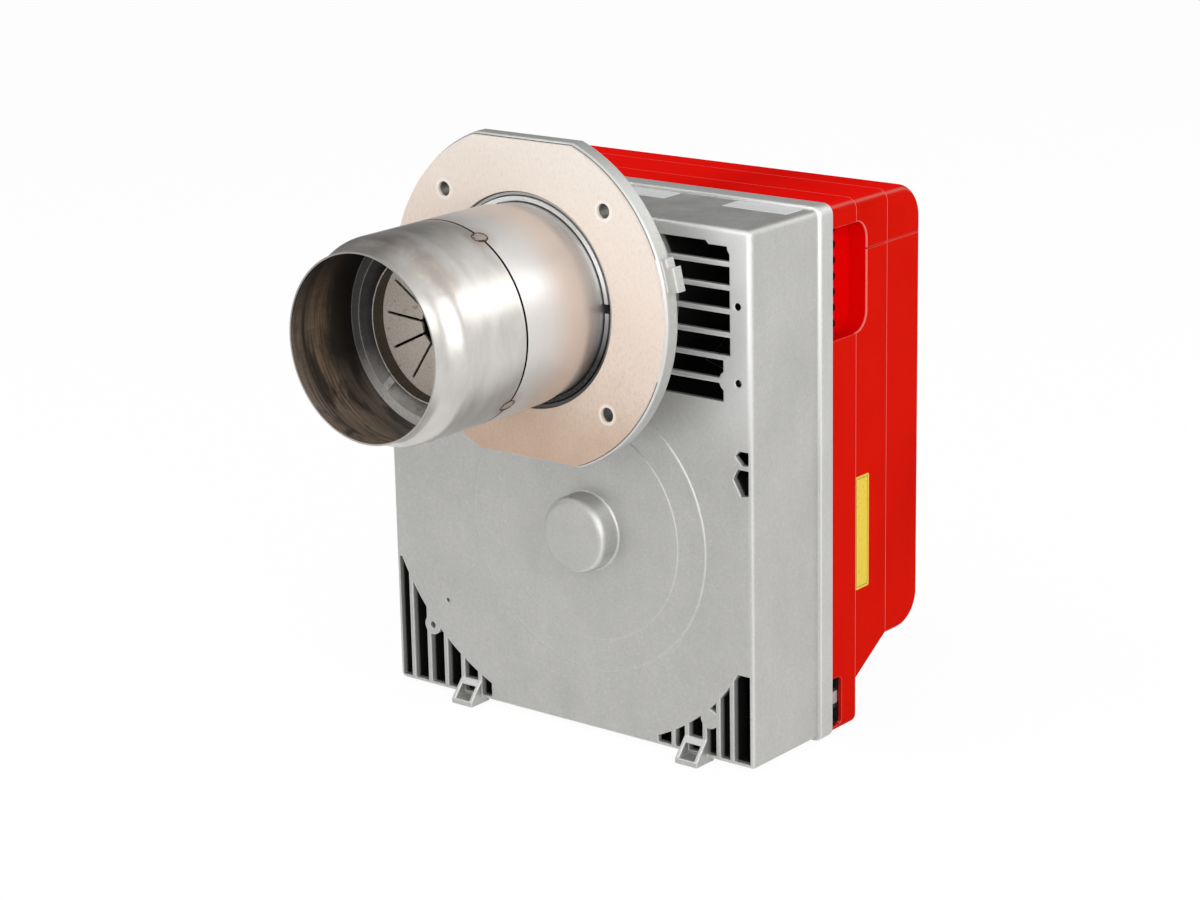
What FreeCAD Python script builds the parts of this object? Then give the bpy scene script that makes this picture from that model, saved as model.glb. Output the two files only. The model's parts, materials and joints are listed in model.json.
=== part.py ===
import FreeCAD, Part
import math
import os

from FreeCAD import Vector

os.makedirs("parts", exist_ok=True)

# Compact oil burner, in millimetres.
# The origin is on the flame tube's axis, on the face of the gasket that meets the boiler.
# X points right as seen from the boiler, Y points away from the boiler, Z points up.

# Clearances
fit_gap = 0.1  # radial play of a piece pushed into or over another
running_gap = 0.05  # radial play of a piece that turns or slides
seat_gap = 0.3  # air between curved or loose neighbours
wall_gap = 0.5  # air between a piece and the wall of the space it sits in

# Boiler flange and gasket
bolt_circle_radius = 85.0
bolt_hole_radius = 4.5
bolt_count = 4
flange_radius = 103.2
flange_flat = 96.5  # half height over the flats at top and bottom
flange_thickness = 10.0
flange_chamfer = 1.2
gasket_inset = 1.4
gasket_thickness = 2.0
gasket_hole_gap = 2.5  # distance between the neck's bore and the gasket's hole
lug_reach = 7.4  # how far the lug on the flange's right edge stands out
lug_low_angle = 9.2
lug_high_angle = 20.0
lug_step_angle = 3.2
lug_thickness = 7.0

# Neck that carries the flange
neck_gap = 2.1  # air between the tube and the neck's bore
neck_wall = 4.5
neck_length = 42.3
neck_foot_width = 15.5
neck_foot_thickness = 6.0
flange_screw_radius = 3.0
flange_screw_offset = 10.1  # distance between the neck's bore and the screws' axes
flange_screw_count = 4

# Flame tube
tube_radius = 60.4
tube_wall = 1.0
tube_length = 140.8  # from the gasket's face to the mouth
front_tube_length = 70.5
seam_gap = 0.6
mouth_inset = 5.6  # how much narrower the tube is at its mouth
mouth_lip_length = 4.5
mouth_blend_length = 19.0
tail_inset = 2.0  # how much narrower the tube is at its tail
tail_blend_length = 20.0
tail_blend_end = 2.0  # distance of the blend's end in front of the gasket's face
tail_depth = 16.0  # how far the tube reaches into the neck
sleeve_overlap = 6.0
collar_front = 1.0
collar_gap = 0.7
collar_groove_width = 0.8
collar_groove_depth = 5.0
collar_notch_width = 5.5
clamp_screw_radius = 2.5
clamp_screw_count = 3
clamp_screw_first_angle = 45.0
clamp_screw_setback = 12.0  # distance of the clamp screws behind the flange
weld_count = 3
weld_first_angle = 63.0
weld_last_angle = -43.0
weld_half_length = 6.5
weld_half_width = 4.8
weld_height = 0.5

# Mixing ring and diffuser
mixing_ring_lead = 15.0  # distance of the ring's face in front of the seam
mixing_ring_length = 25.0
mixing_face_width = 5.8
mixing_cone_depth = 3.0  # how much narrower the ring's throat is than its face
mixing_cone_length = 7.0
tab_count = 3
tab_first_angle = -132.0
tab_width = 4.5
tab_length = 5.0
disc_lead = 4.4  # distance of the disc's face in front of the seam
disc_thickness = 1.5
cup_gap = 5.5  # width of the air gap round the cup
cup_wall = 0.8
cup_lip = 8.5  # distance of the cup's rim in front of the disc
cup_length = 38.0
disc_hole_radius = 14.5
slit_count = 12
slit_turn = 11.0  # degrees between the slits and their even places about the x axis
slit_margin = 4.5  # distance between the slits' ends and the cup's outside
slit_width = 1.6
vane_height = 4.0
vane_thickness = 1.0
vane_angle = 35.0

# Nozzle assembly
nozzle_setback = 5.0  # distance of the nozzle's tip behind the disc's face
nozzle_length = 19.5
nozzle_radius = 7.0
nozzle_tip_radius = 3.0
nozzle_flats = 16.0
preheater_radius = 11.0
preheater_length = 45.0
lance_radius = 6.0
support_ring_width = 3.0
support_length = 3.0
support_arm_width = 5.0
support_arm_count = 3
nozzle_travel = 10.0  # how far the whole assembly can be set forward
electrode_spread = 16.0
electrode_drop = 14.0
electrode_radius = 1.2
electrode_gap = 5.0  # distance between the two tips
electrode_tip_drop = 6.0
electrode_tip_setback = 2.5
insulator_radius = 4.0
insulator_front = 24.0  # distance of the ceramic's front end behind the nozzle's tip
insulator_length = 84.0
electrode_bite = 8.0  # how much of an electrode's tail always stays in its boot
holder_thickness = 6.0
holder_setback = 14.0
holder_margin = 4.0

# Housing casting
housing_left = 160.5
housing_right = 124.5
housing_top = 46.5
housing_bottom = 284.0
housing_depth = 66.7
housing_wall = 3.0
housing_front_wall = 3.5
housing_edge_radius = 4.0
corner_cut = 48.0  # how far the upper left corner is cut off along each side
rim_depth = 12.0
rim_proud = 2.5
rim_wall = 3.0
rim_edge_radius = 2.2
scroll_wall = 4.0
neck_room_gap = 2.5  # how much wider the space behind the neck is than its bore
fan_drop = 154.4
scroll_right_x = 13.9
scroll_right_drop = 166.2
scroll_right_radius = 110.8
scroll_low_radius = 129.0
scroll_left_x = -19.6
scroll_left_drop = 135.2
scroll_left_radius = 145.9
emboss_outer_radius = 89.9
emboss_inner_radius = 69.5
emboss_step = 0.6
boss_radius = 24.1
boss_height = 16.2
boss_edge_radius = 4.8
boss_fillet = 2.8
boss_wall = 4.0

# Air slots in the housing's face
slot_pitch = 14.0
slot_rib = 3.0
slot_row_count = 7
slot_row_top = 37.4
slot_row_end = 109.0
slot_short_end = 104.0
slot_short_rows = 2
slot_corner_drop = 2.1
slot_corner_run = 15.0
rib_depth = 10.0
left_rib_pitch = 14.1
left_rib_first = -147.9
left_rib_count = 5
right_rib_pitch = 10.3
low_left_height = 84.0
low_right_height = 59.0
foot_width = 16.5
foot_wall = 2.5
foot_right_x = 80.7
foot_reach = 10.3
foot_rise = 12.0
foot_drop = 3.0
foot_back = 7.0
foot_window_height = 8.0
foot_window_lift = 0.5
small_hole_radius = 2.25
small_hole_inset = 9.8
tapping_radius = 1.5
tapping_offset = 116.6
tapping_drop = 68.1
window_sizes = ((86.0, 9.7, 8.5), (97.2, 11.2, 16.3))  # top edge below the tube's axis, reach, height

# Screw posts of the component plate
post_radius = 6.4
post_hole_depth = 18.0
post_inset = 11.0
left_post_rise = 44.0  # height of the left post above the fan's axis
low_left_post_rise = 42.0  # height above the housing's floor
low_left_post_shift = 17.6  # distance from the first louvre rib
low_right_post_rise = 26.2
plate_screw_radius = 2.5

# Component plate and what it carries
plate_thickness = 6.0
plate_air_width = 27.0
plate_air_height = 72.0
nozzle_door_radius = 41.5
nozzle_door_hole_radius = 34.0
nozzle_door_thickness = 4.0
nozzle_door_screw_count = 3
nozzle_door_screw_radius = 2.0
lance_boss_radius = 11.0
lance_boss_length = 12.0
adjuster_rise = 18.0
adjuster_radius = 3.0
adjuster_boss_radius = 6.0
adjuster_boss_length = 10.0
adjuster_tail = 10.0  # how far the screw reaches behind the bracket
adjuster_head_radius = 5.5
adjuster_head_length = 6.0
bracket_clearance = 2.0  # air left between the bracket and the door's boss at full travel
bracket_thickness = 3.0
bracket_margin = 4.0
union_flats = 17.0
union_length = 12.0
union_setback = 5.0

# Fan
fan_radius = 90.0
fan_inner_radius = 74.0
fan_front_gap = 4.2
fan_disc_thickness = 2.0
fan_blade_length = 45.0
fan_rim_thickness = 2.0
fan_blade_count = 36
fan_blade_thickness = 1.2
fan_blade_lean = 30.0
fan_hub_radius = 15.0
fan_hub_length = 26.0
shaft_radius = 6.0
shaft_thread_radius = 4.0
fan_nut_flats = 13.0
fan_nut_length = 6.5
inlet_radius = 60.5
inlet_wall = 1.5
inlet_length = 7.0
inlet_flange_radius = 70.0
inlet_flange_thickness = 1.5

# Air intake box and damper
intake_left = 72.5
intake_right = 102.0
intake_top = 36.0
intake_lift = 52.0  # height of the box's lower edge above the housing's bottom
intake_shoulder = 79.0
intake_duct_left = 68.0
intake_depth = 25.0
intake_wall = 2.5
damper_drop = 89.0
damper_thickness = 1.5
damper_shaft_radius = 2.5
damper_shaft_tail = 23.0
damper_dial_radius = 14.0
damper_dial_thickness = 7.0
damper_scale_radius = 20.0
damper_scale_thickness = 0.8

# Motor
motor_radius = 42.0
motor_wall = 2.0
motor_nose = 13.0  # how far the motor reaches forward of the component plate
motor_front_bell = 6.0
motor_rear_bell = 6.0
motor_flange_radius = 57.0
motor_flange_thickness = 5.0
motor_tail = 20.0  # how far the motor reaches behind the intake box
motor_screw_circle = 50.0
motor_screw_radius = 2.5
motor_screw_count = 4
bearing_radius = 16.0
bearing_width = 10.0
bearing_seat_wall = 3.0
stator_length = 26.0
stator_bore_radius = 24.0
rotor_gap = 0.5
capacitor_radius = 15.0
capacitor_length = 60.0
capacitor_x = 84.0
capacitor_lift = 32.6  # height of its lower end above the intake box's lower edge
clip_width = 12.0
clip_thickness = 1.2

# Oil pump
pump_half_width = 31.0
pump_length = 26.0
pump_corner_radius = 8.0
pump_cover_thickness = 8.0
pump_spigot_radius = 16.0
pump_spigot_length = 8.0
pump_collar_radius = 24.0
pump_collar_length = 14.0
pump_shaft_radius = 4.0
pump_screw_radius = 2.5
pump_screw_inset = 7.0
coupling_radius = 9.0
coupling_length = 13.0
coupling_bite = 6.0  # how much of each shaft the coupling holds
valve_stem_radius = 6.0
valve_stem_length = 36.0
valve_coil_width = 24.0
valve_coil_height = 30.0
fitting_spread = 14.0
fitting_flats = 17.0
fitting_hex_length = 8.0
fitting_barb_radius = 5.0
fitting_length = 22.0
pressure_screw_radius = 5.0
pressure_screw_length = 7.0
pressure_screw_offset = 18.0
pipe_radius = 3.0
pipe_side = 23.0
pipe_bend_share = 0.45
pipe_low_share = 0.55  # heights of the pipe's two bends, as shares of the drop to its nut
pipe_high_share = 0.36

# Ignition, flame sensor and control
ignition_left = 150.0
ignition_width = 72.0
ignition_depth = 56.0
ignition_top = 28.0
ignition_height = 84.0
ignition_edge_radius = 3.0
lead_radius = 3.5
lead_bend_radius = 16.0
lead_first_setback = 35.0
lead_pitch = 16.0
boot_radius = 4.6
boot_length = 26.0
boot_gap = 2.0
sensor_x = 22.0
sensor_z = 14.0
sensor_radius = 6.0
sensor_head_radius = 8.0
sensor_head_length = 20.0
sensor_nose = 14.0
control_width = 60.0
control_height = 84.0
control_back_gap = 10.0
control_edge_radius = 2.5
button_radius = 7.5
button_proud = 3.0
button_travel = 2.0
button_seat = 4.0
socket_width = 26.0
socket_depth = 19.0
socket_lift = 35.0  # height of the sockets' top above the housing's bottom
socket_heights = (10.5, 8.5, 13.0)

# Red cover
cover_depth = 101.5
cover_inset = 1.0
cover_wall = 2.5
cover_step = 0.8
cover_first_step = 26.5
cover_second_step = 61.0
cover_corner_radius = 7.0
cover_back_radius = 22.0
cover_back_lap = 4.0  # how far the back part reaches forward into the sloping part
cover_chamfer_rise = 24.0
cover_bulge_rise = 46.0
recess_depth = 14.0
recess_length = 39.0
recess_top = 33.5
recess_bottom = 35.0
recess_corner_radius = 12.0
recess_notch_count = 7
recess_notch_width = 5.5
recess_notch_depth = 24.2
recess_notch_flat = 0.1  # half the flat between the two roundings at a notch's end
plug_window_length = 11.5
plug_window_height = 32.0
plug_window_radius = 4.0
groove_z = 15.0
groove_width = 0.9
groove_depth = 0.7
stud_radius = 4.0
cover_screw_radius = 2.5
cover_screw_length = 14.0
cover_screw_head = 3.0
plate_stud_x = -62.0
plate_stud_z = 12.0
intake_stud_inset = 32.0  # distance of the other stud from the intake box's right edge
intake_stud_lift = 23.0  # and its height above that box's lower edge

# Places worked out from the sizes above
flange_front_y = gasket_thickness
flange_back_y = flange_front_y + flange_thickness
mouth_radius = tube_radius - mouth_inset
tail_radius = tube_radius - tail_inset
neck_bore_radius = tube_radius + neck_gap
neck_foot_radius = neck_bore_radius + neck_foot_width
neck_room_radius = neck_bore_radius + neck_room_gap
flange_screw_circle = neck_bore_radius + flange_screw_offset
gasket_hole_radius = neck_bore_radius + gasket_hole_gap
housing_front_y = flange_back_y + neck_length
housing_room_y = housing_front_y + housing_front_wall
plate_front_y = housing_front_y + housing_depth
plate_back_y = plate_front_y + plate_thickness
rim_back_y = plate_front_y + rim_depth
tube_front_y = -tube_length
seam_y = tube_front_y + front_tube_length + seam_gap / 2
tube_tail_y = flange_back_y + tail_depth
tube_bore_radius = tube_radius - tube_wall
sleeve_radius = tube_bore_radius - fit_gap
mixing_face_radius = sleeve_radius - mixing_face_width
mixing_throat_radius = mixing_face_radius - mixing_cone_depth
cup_radius = mixing_throat_radius - cup_gap
slit_end_radius = cup_radius - slit_margin
sleeve_end_y = seam_y - sleeve_overlap
mixing_face_y = seam_y - mixing_ring_lead
disc_front_y = seam_y - disc_lead
cup_front_y = disc_front_y - cup_lip
cup_back_y = cup_front_y + cup_length
nozzle_tip_y = disc_front_y + nozzle_setback
preheater_front_y = nozzle_tip_y + nozzle_length
preheater_back_y = preheater_front_y + preheater_length
insulator_front_y = nozzle_tip_y + insulator_front
insulator_back_y = insulator_front_y + insulator_length
electrode_tail_length = boot_gap + nozzle_travel + electrode_bite
door_back_y = plate_back_y + nozzle_door_thickness
bracket_y = door_back_y + lance_boss_length + nozzle_travel + bracket_clearance
union_front_y = bracket_y + bracket_thickness + union_setback
union_back_y = union_front_y + union_length
fan_z = -fan_drop
fan_front_y = housing_room_y + fan_front_gap
fan_back_y = fan_front_y + fan_disc_thickness + fan_blade_length
fan_nut_y = fan_front_y - seat_gap - fan_nut_length
intake_back_y = plate_back_y + intake_depth
intake_bottom = housing_bottom - intake_lift
socket_top = housing_bottom - socket_lift
duct_x = (intake_duct_left + intake_right) / 2
damper_half_width = (intake_right - intake_duct_left) / 2 - intake_wall - wall_gap
capacitor_z = capacitor_lift - intake_bottom
motor_front_y = plate_front_y - motor_nose
motor_back_y = intake_back_y + motor_tail
front_bearing_y = motor_front_y + motor_front_bell - bearing_seat_wall + running_gap
rear_bearing_y = motor_back_y - motor_rear_bell + bearing_seat_wall - running_gap - bearing_width
pump_front_y = motor_back_y + pump_collar_length
pump_cover_y = pump_front_y + pump_length
pump_back_y = pump_cover_y + pump_cover_thickness
pump_middle_y = (pump_front_y + pump_cover_y) / 2
coupling_y = motor_back_y + seat_gap
pump_bottom_z = fan_z - pump_half_width
pump_top_z = fan_z + pump_half_width
cover_back_y = rim_back_y + cover_depth
cover_inner_y = cover_back_y - cover_wall
control_x0 = intake_right - control_width
control_z1 = intake_top - wall_gap
control_back_y = cover_inner_y - control_back_gap
button_x = control_x0 + control_width / 2
button_z = control_z1 - control_height / 4
stud_places = ((plate_stud_x, plate_stud_z),
               (intake_right - intake_stud_inset, intake_stud_lift - intake_bottom))
foot_left_x = left_rib_first + (left_rib_count - 1.5) * left_rib_pitch


# Basic shapes

def cylinder(radius, y0, y1, x=0.0, z=0.0):
    return Part.makeCylinder(radius, y1 - y0, Vector(x, y0, z), Vector(0, 1, 0))


def ring(outer, inner, y0, y1, x=0.0, z=0.0):
    return cylinder(outer, y0, y1, x, z).cut(cylinder(inner, y0 - 1, y1 + 1, x, z))


# The same two shapes on the fan's axis
def axle(radius, y0, y1):
    return cylinder(radius, y0, y1, 0, fan_z)


def axle_ring(outer, inner, y0, y1):
    return ring(outer, inner, y0, y1, 0, fan_z)


def block(x0, x1, y0, y1, z0, z1):
    return Part.makeBox(x1 - x0, y1 - y0, z1 - z0, Vector(x0, y0, z0))


def prism(points, y0, y1):
    wire = Part.makePolygon([Vector(x, y0, z) for x, z in points + points[:1]])
    return Part.Face(wire).extrude(Vector(0, y1 - y0, 0))


def turned(profile, x=0.0, z=0.0):
    wire = Part.makePolygon([Vector(x + r, y, z) for r, y in profile + profile[:1]])
    return Part.Face(wire).revolve(Vector(x, 0, z), Vector(0, 1, 0), 360)


def hexagon(flats, y0, y1, x=0.0, z=0.0):
    return prism([polar(flats / 2 / math.cos(math.pi / 6), 60 * i, x, z) for i in range(6)], y0, y1)


def upright_hexagon(flats, x, y, z0, z1):
    corners = [polar(flats / 2 / math.cos(math.pi / 6), 60 * i, x, y) for i in range(7)]
    wire = Part.makePolygon([Vector(px, py, z0) for px, py in corners])
    return Part.Face(wire).extrude(Vector(0, 0, z1 - z0))


def polar(radius, degrees, x=0.0, z=0.0):
    angle = math.radians(degrees)
    return (x + radius * math.cos(angle), z + radius * math.sin(angle))


def spaced(count, radius, first=0.0, x=0.0, z=0.0):
    return [polar(radius, first + 360 * i / count, x, z) for i in range(count)]


def joined(shapes):
    return shapes[0].multiFuse(shapes[1:]).removeSplitter()


def without(shape, cutters):
    return shape.cut(Part.makeCompound(cutters))


def about_y(shape, degrees, x=0.0, z=0.0):
    turned_shape = shape.copy()
    turned_shape.rotate(Vector(x, 0, z), Vector(0, 1, 0), -degrees)
    return turned_shape


# Solid of one radius up to a smooth blend and of another radius after it
def blended_rod(radius0, radius1, y0, blend0, blend1, y1):
    middle = (blend0 + blend1) / 2
    curve = Part.BezierCurve()
    curve.setPoles([Vector(radius0, blend0, 0), Vector(radius0, middle, 0),
                    Vector(radius1, middle, 0), Vector(radius1, blend1, 0)])
    before = Part.makePolygon([Vector(0, y0, 0), Vector(radius0, y0, 0), Vector(radius0, blend0, 0)])
    after = Part.makePolygon([Vector(radius1, blend1, 0), Vector(radius1, y1, 0),
                              Vector(0, y1, 0), Vector(0, y0, 0)])
    wire = Part.Wire(before.Edges + [curve.toShape()] + after.Edges)
    return Part.Face(wire).revolve(Vector(0, 0, 0), Vector(0, 1, 0), 360)


def rounded_outline(x0, x1, z0, z1, radius, y):
    centres = [(x1 - radius, z1 - radius), (x0 + radius, z1 - radius),
               (x0 + radius, z0 + radius), (x1 - radius, z0 + radius)]
    arcs = []
    for i, (cx, cz) in enumerate(centres):
        ends = [polar(radius, 90 * i + step, cx, cz) for step in (0, 45, 90)]
        arcs.append(Part.Arc(*[Vector(px, y, pz) for px, pz in ends]).toShape())
    edges = []
    for i, arc in enumerate(arcs):
        following = arcs[(i + 1) % 4]
        edges.append(arc)
        edges.append(Part.makeLine(arc.valueAt(arc.LastParameter),
                                   following.valueAt(following.FirstParameter)))
    return Part.Wire(edges)


def rounded_block(x0, x1, y0, y1, z0, z1, radius):
    return Part.Face(rounded_outline(x0, x1, z0, z1, radius, y0)).extrude(Vector(0, y1 - y0, 0))


# Rounds the edges that lie in the plane of one Y value
def round_rim(shape, y, radius):
    edges = [e for e in shape.Edges if abs(e.BoundBox.YMin - y) < 1e-4 and abs(e.BoundBox.YMax - y) < 1e-4]
    return shape.makeFillet(radius, edges)


# Socket-head screw whose head stands on the plane head_y, with the shank towards -Y or +Y
def cap_screw(radius, length, head_y, x, z, shank=-1):
    head = (head_y, head_y - shank * 2 * radius)
    body = (head_y, head_y + shank * length)
    socket = (head[1], head_y - shank * radius)
    screw = cylinder(radius * 1.7, min(head), max(head), x, z)
    screw = screw.fuse(cylinder(radius, min(body), max(body), x, z)).removeSplitter()
    return screw.cut(hexagon(radius * 1.6, min(socket), max(socket), x, z))


# Round bar along straight runs joined by arcs
def bar(points, radius, bend):
    points = [Vector(*p) for p in points]
    edges = []
    start = points[0]
    for before, corner, after in zip(points, points[1:], points[2:]):
        back = (before - corner).normalize()
        ahead = (after - corner).normalize()
        half_turn = (math.pi - back.getAngle(ahead)) / 2
        run = bend * math.tan(half_turn)
        middle = (back + ahead).normalize() * (bend / math.cos(half_turn) - bend)
        first = corner + back * run
        last = corner + ahead * run
        edges.append(Part.makeLine(start, first))
        edges.append(Part.Arc(first, corner + middle, last).toShape())
        start = last
    edges.append(Part.makeLine(start, points[-1]))
    path = Part.Wire(edges)
    section = Part.Wire(Part.makeCircle(radius, points[0], points[1] - points[0]))
    return path.makePipeShell([section], True, False)


# Boiler flange

def flat_sided_disc(radius, flat, y0, y1):
    return cylinder(radius, y0, y1).common(block(-radius, radius, y0, y1, -flat, flat))


def bolt_holes(y0, y1):
    return [cylinder(bolt_hole_radius, y0, y1, x, z)
            for x, z in spaced(bolt_count, bolt_circle_radius, 180 / bolt_count)]


def flange_gasket():
    sheet = flat_sided_disc(flange_radius - gasket_inset, flange_flat - gasket_inset, 0, gasket_thickness)
    hole = cylinder(gasket_hole_radius, -1, gasket_thickness + 1)
    return without(sheet, [hole] + bolt_holes(-1, gasket_thickness + 1))


def mounting_flange():
    plate = flat_sided_disc(flange_radius, flange_flat, flange_front_y, flange_back_y)
    plate = round_front_edge(plate)
    root = flange_radius - lug_reach / 2
    outer = flange_radius + lug_reach
    step = flange_radius + lug_reach / 2
    lug = prism([polar(root, lug_low_angle), polar(outer, lug_low_angle),
                 polar(outer, lug_high_angle - lug_step_angle), polar(step, lug_high_angle - lug_step_angle),
                 polar(step, lug_high_angle), polar(root, lug_high_angle)],
                flange_back_y - lug_thickness, flange_back_y)
    bore = cylinder(neck_bore_radius, flange_front_y - 1, flange_back_y + 1)
    threads = [cylinder(flange_screw_radius + running_gap, flange_back_y - 2 * flange_screw_radius,
                        flange_back_y + 1, x, z) for x, z in flange_screw_places()]
    holes = bolt_holes(flange_front_y - 1, flange_back_y + 1)
    return without(joined([plate, lug]), [bore] + holes + threads)


def round_front_edge(plate):
    edges = [e for e in plate.Edges if e.BoundBox.YMax < flange_front_y + 1e-4]
    return plate.makeChamfer(flange_chamfer, edges)


def flange_screw_places():
    return spaced(flange_screw_count, flange_screw_circle)


def flange_screws():
    head_y = flange_back_y + neck_foot_thickness
    length = neck_foot_thickness + 2 * flange_screw_radius - seat_gap
    return Part.makeCompound([cap_screw(flange_screw_radius, length, head_y, x, z)
                              for x, z in flange_screw_places()])


# Flame tube

def front_tube():
    blend0 = tube_front_y + mouth_lip_length
    blend1 = blend0 + mouth_blend_length
    back_y = tube_front_y + front_tube_length
    outer = blended_rod(mouth_radius, tube_radius, tube_front_y, blend0, blend1, back_y)
    inner = blended_rod(mouth_radius - tube_wall, tube_bore_radius, tube_front_y - 1, blend0, blend1,
                        back_y + 1)
    return outer.cut(inner)


def rear_tube():
    front_y = seam_y + seam_gap / 2
    blend1 = -tail_blend_end
    blend0 = blend1 - tail_blend_length
    outer = blended_rod(tube_radius, tail_radius, front_y, blend0, blend1, tube_tail_y)
    sleeve = cylinder(sleeve_radius, sleeve_end_y, front_y + 2 * tube_wall)
    bore = blended_rod(tube_bore_radius, tail_radius - tube_wall, front_y + 2 * tube_wall,
                       blend0, blend1, tube_tail_y + 1)
    sleeve_bore = cylinder(sleeve_radius - tube_wall, sleeve_end_y - 1, front_y + 3 * tube_wall)
    return without(joined([outer, sleeve]), [bore, sleeve_bore])


def weld_angles():
    step = (360 - (weld_first_angle - weld_last_angle)) / (weld_count - 1)
    return [weld_first_angle + step * i for i in range(weld_count)]


def weld_spots():
    skin = ring(tube_radius + weld_height, tube_radius, seam_y - 2 * weld_half_length,
                seam_y + 2 * weld_half_length)
    spots = []
    for angle in weld_angles():
        oval = Part.Ellipse(Vector(0, 0, 0), weld_half_length, weld_half_width).toShape()
        pin = Part.Face(Part.Wire(oval)).extrude(Vector(0, 0, 2 * tube_radius))
        pin.rotate(Vector(0, 0, 0), Vector(0, 1, 0), 90 - angle)
        pin.translate(Vector(0, seam_y, 0))
        spots.append(skin.common(pin))
    return Part.makeCompound(spots)


def tube_collar():
    outer_radius = neck_bore_radius - collar_gap
    sleeve = ring(outer_radius, tail_radius + running_gap, collar_front, tube_tail_y)
    groove = cylinder(tail_radius + collar_groove_width, collar_front - 1, collar_front + collar_groove_depth)
    notch = block(0, 2 * outer_radius, collar_front - 1, tube_tail_y + 1, 0, collar_notch_width)
    return without(sleeve, [groove, notch])


def clamp_screw_angles():
    return [clamp_screw_first_angle + 360 * i / clamp_screw_count for i in range(clamp_screw_count)]


def radial_pins(radius, inner, outer):
    y = flange_back_y + clamp_screw_setback
    pins = []
    for angle in clamp_screw_angles():
        x, z = polar(1, angle)
        direction = Vector(x, 0, z)
        pins.append(Part.makeCylinder(radius, outer - inner, direction * inner + Vector(0, y, 0), direction))
    return pins


def tube_clamp_screws():
    inner = neck_bore_radius - collar_gap
    return Part.makeCompound(radial_pins(clamp_screw_radius, inner,
                                         inner + neck_wall + 2 * clamp_screw_radius))


# Mixing head

def mixing_ring():
    back_y = mixing_face_y + mixing_ring_length
    cone_y = mixing_face_y + mixing_cone_length
    body = turned([(mixing_face_radius, mixing_face_y), (sleeve_radius, mixing_face_y),
                   (sleeve_radius, sleeve_end_y), (sleeve_radius - tube_wall - fit_gap, sleeve_end_y),
                   (sleeve_radius - tube_wall - fit_gap, back_y), (mixing_throat_radius, back_y),
                   (mixing_throat_radius, cone_y)])
    tab_radius = cup_radius + seat_gap
    tabs = []
    for i in range(tab_count):
        tab = block(tab_radius, mixing_face_radius + tube_wall, mixing_face_y + tube_wall,
                    mixing_face_y + tube_wall + tab_length, -tab_width / 2, tab_width / 2)
        tab = tab.cut(cylinder(tab_radius, mixing_face_y - 1, back_y))
        tabs.append(about_y(tab, tab_first_angle + 360 * i / tab_count))
    return joined([body] + tabs)


def diffuser_cup():
    return ring(cup_radius, cup_radius - cup_wall, cup_front_y, cup_back_y)


def diffuser_disc():
    radius = cup_radius - cup_wall - fit_gap
    back_y = disc_front_y + disc_thickness
    disc = cylinder(radius, disc_front_y, back_y)
    outline = spaced(slit_count, disc_hole_radius, 180 / slit_count)
    hole = about_y(prism(outline, disc_front_y - 1, back_y + 1),
                   slit_turn)
    slits = []
    vanes = []
    for i in range(slit_count):
        angle = 360 * (i + 0.5) / slit_count + slit_turn
        slit = block(0, slit_end_radius, disc_front_y - 1, back_y + 1, -slit_width / 2, slit_width / 2)
        slits.append(about_y(slit, angle))
        vane = block(disc_hole_radius + 2 * slit_width, slit_end_radius, back_y - vane_thickness,
                     back_y + vane_height, slit_width / 2, slit_width / 2 + vane_thickness)
        vane.rotate(Vector(0, back_y - vane_thickness, slit_width / 2), Vector(1, 0, 0), vane_angle)
        vanes.append(about_y(vane, angle))
    zone = cylinder(radius, back_y - disc_thickness / 2, back_y + vane_height)
    trimmed = [v.common(zone) for v in vanes]
    return without(joined([disc] + trimmed), [hole] + slits)


def cup_support():
    hub = ring(preheater_radius + fit_gap + support_ring_width, preheater_radius + fit_gap,
               cup_back_y - support_length, cup_back_y)
    reach = cup_radius - cup_wall - fit_gap
    arms = []
    for i in range(support_arm_count):
        arm = block(preheater_radius + support_ring_width / 2, reach, cup_back_y - support_length, cup_back_y,
                    -support_arm_width / 2, support_arm_width / 2)
        arms.append(about_y(arm, 360 * i / support_arm_count - 90))
    limits = ring(reach, preheater_radius + fit_gap, cup_back_y - support_length, cup_back_y)
    return joined([hub] + arms).common(limits)


def nozzle():
    hex_y = nozzle_tip_y + nozzle_length / 2
    tip = turned([(0, nozzle_tip_y), (nozzle_tip_radius, nozzle_tip_y), (nozzle_radius, hex_y), (0, hex_y)])
    body = cylinder(nozzle_radius, hex_y, preheater_front_y)
    spanner = hexagon(nozzle_flats, hex_y, preheater_front_y - nozzle_length / 4)
    return joined([tip, body, spanner])


def oil_preheater():
    return cylinder(preheater_radius, preheater_front_y, preheater_back_y)


def nozzle_lance():
    tube = cylinder(lance_radius, preheater_back_y, union_front_y)
    half = max(lance_radius, adjuster_radius) + bracket_margin
    bracket = block(-half, half, bracket_y, bracket_y + bracket_thickness,
                    -lance_radius - bracket_margin, adjuster_rise + adjuster_radius + bracket_margin)
    hole = cylinder(adjuster_radius + running_gap, bracket_y - 1, bracket_y + bracket_thickness + 1,
                    0, adjuster_rise)
    return joined([tube, bracket]).cut(hole)


def lance_union():
    return hexagon(union_flats, union_front_y, union_back_y)


def electrode_places():
    return [(side * electrode_spread, -electrode_drop, side) for side in (-1, 1)]


def electrode_insulators():
    return Part.makeCompound([ring(insulator_radius, electrode_radius, insulator_front_y, insulator_back_y,
                                   x, z) for x, z, side in electrode_places()])


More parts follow.
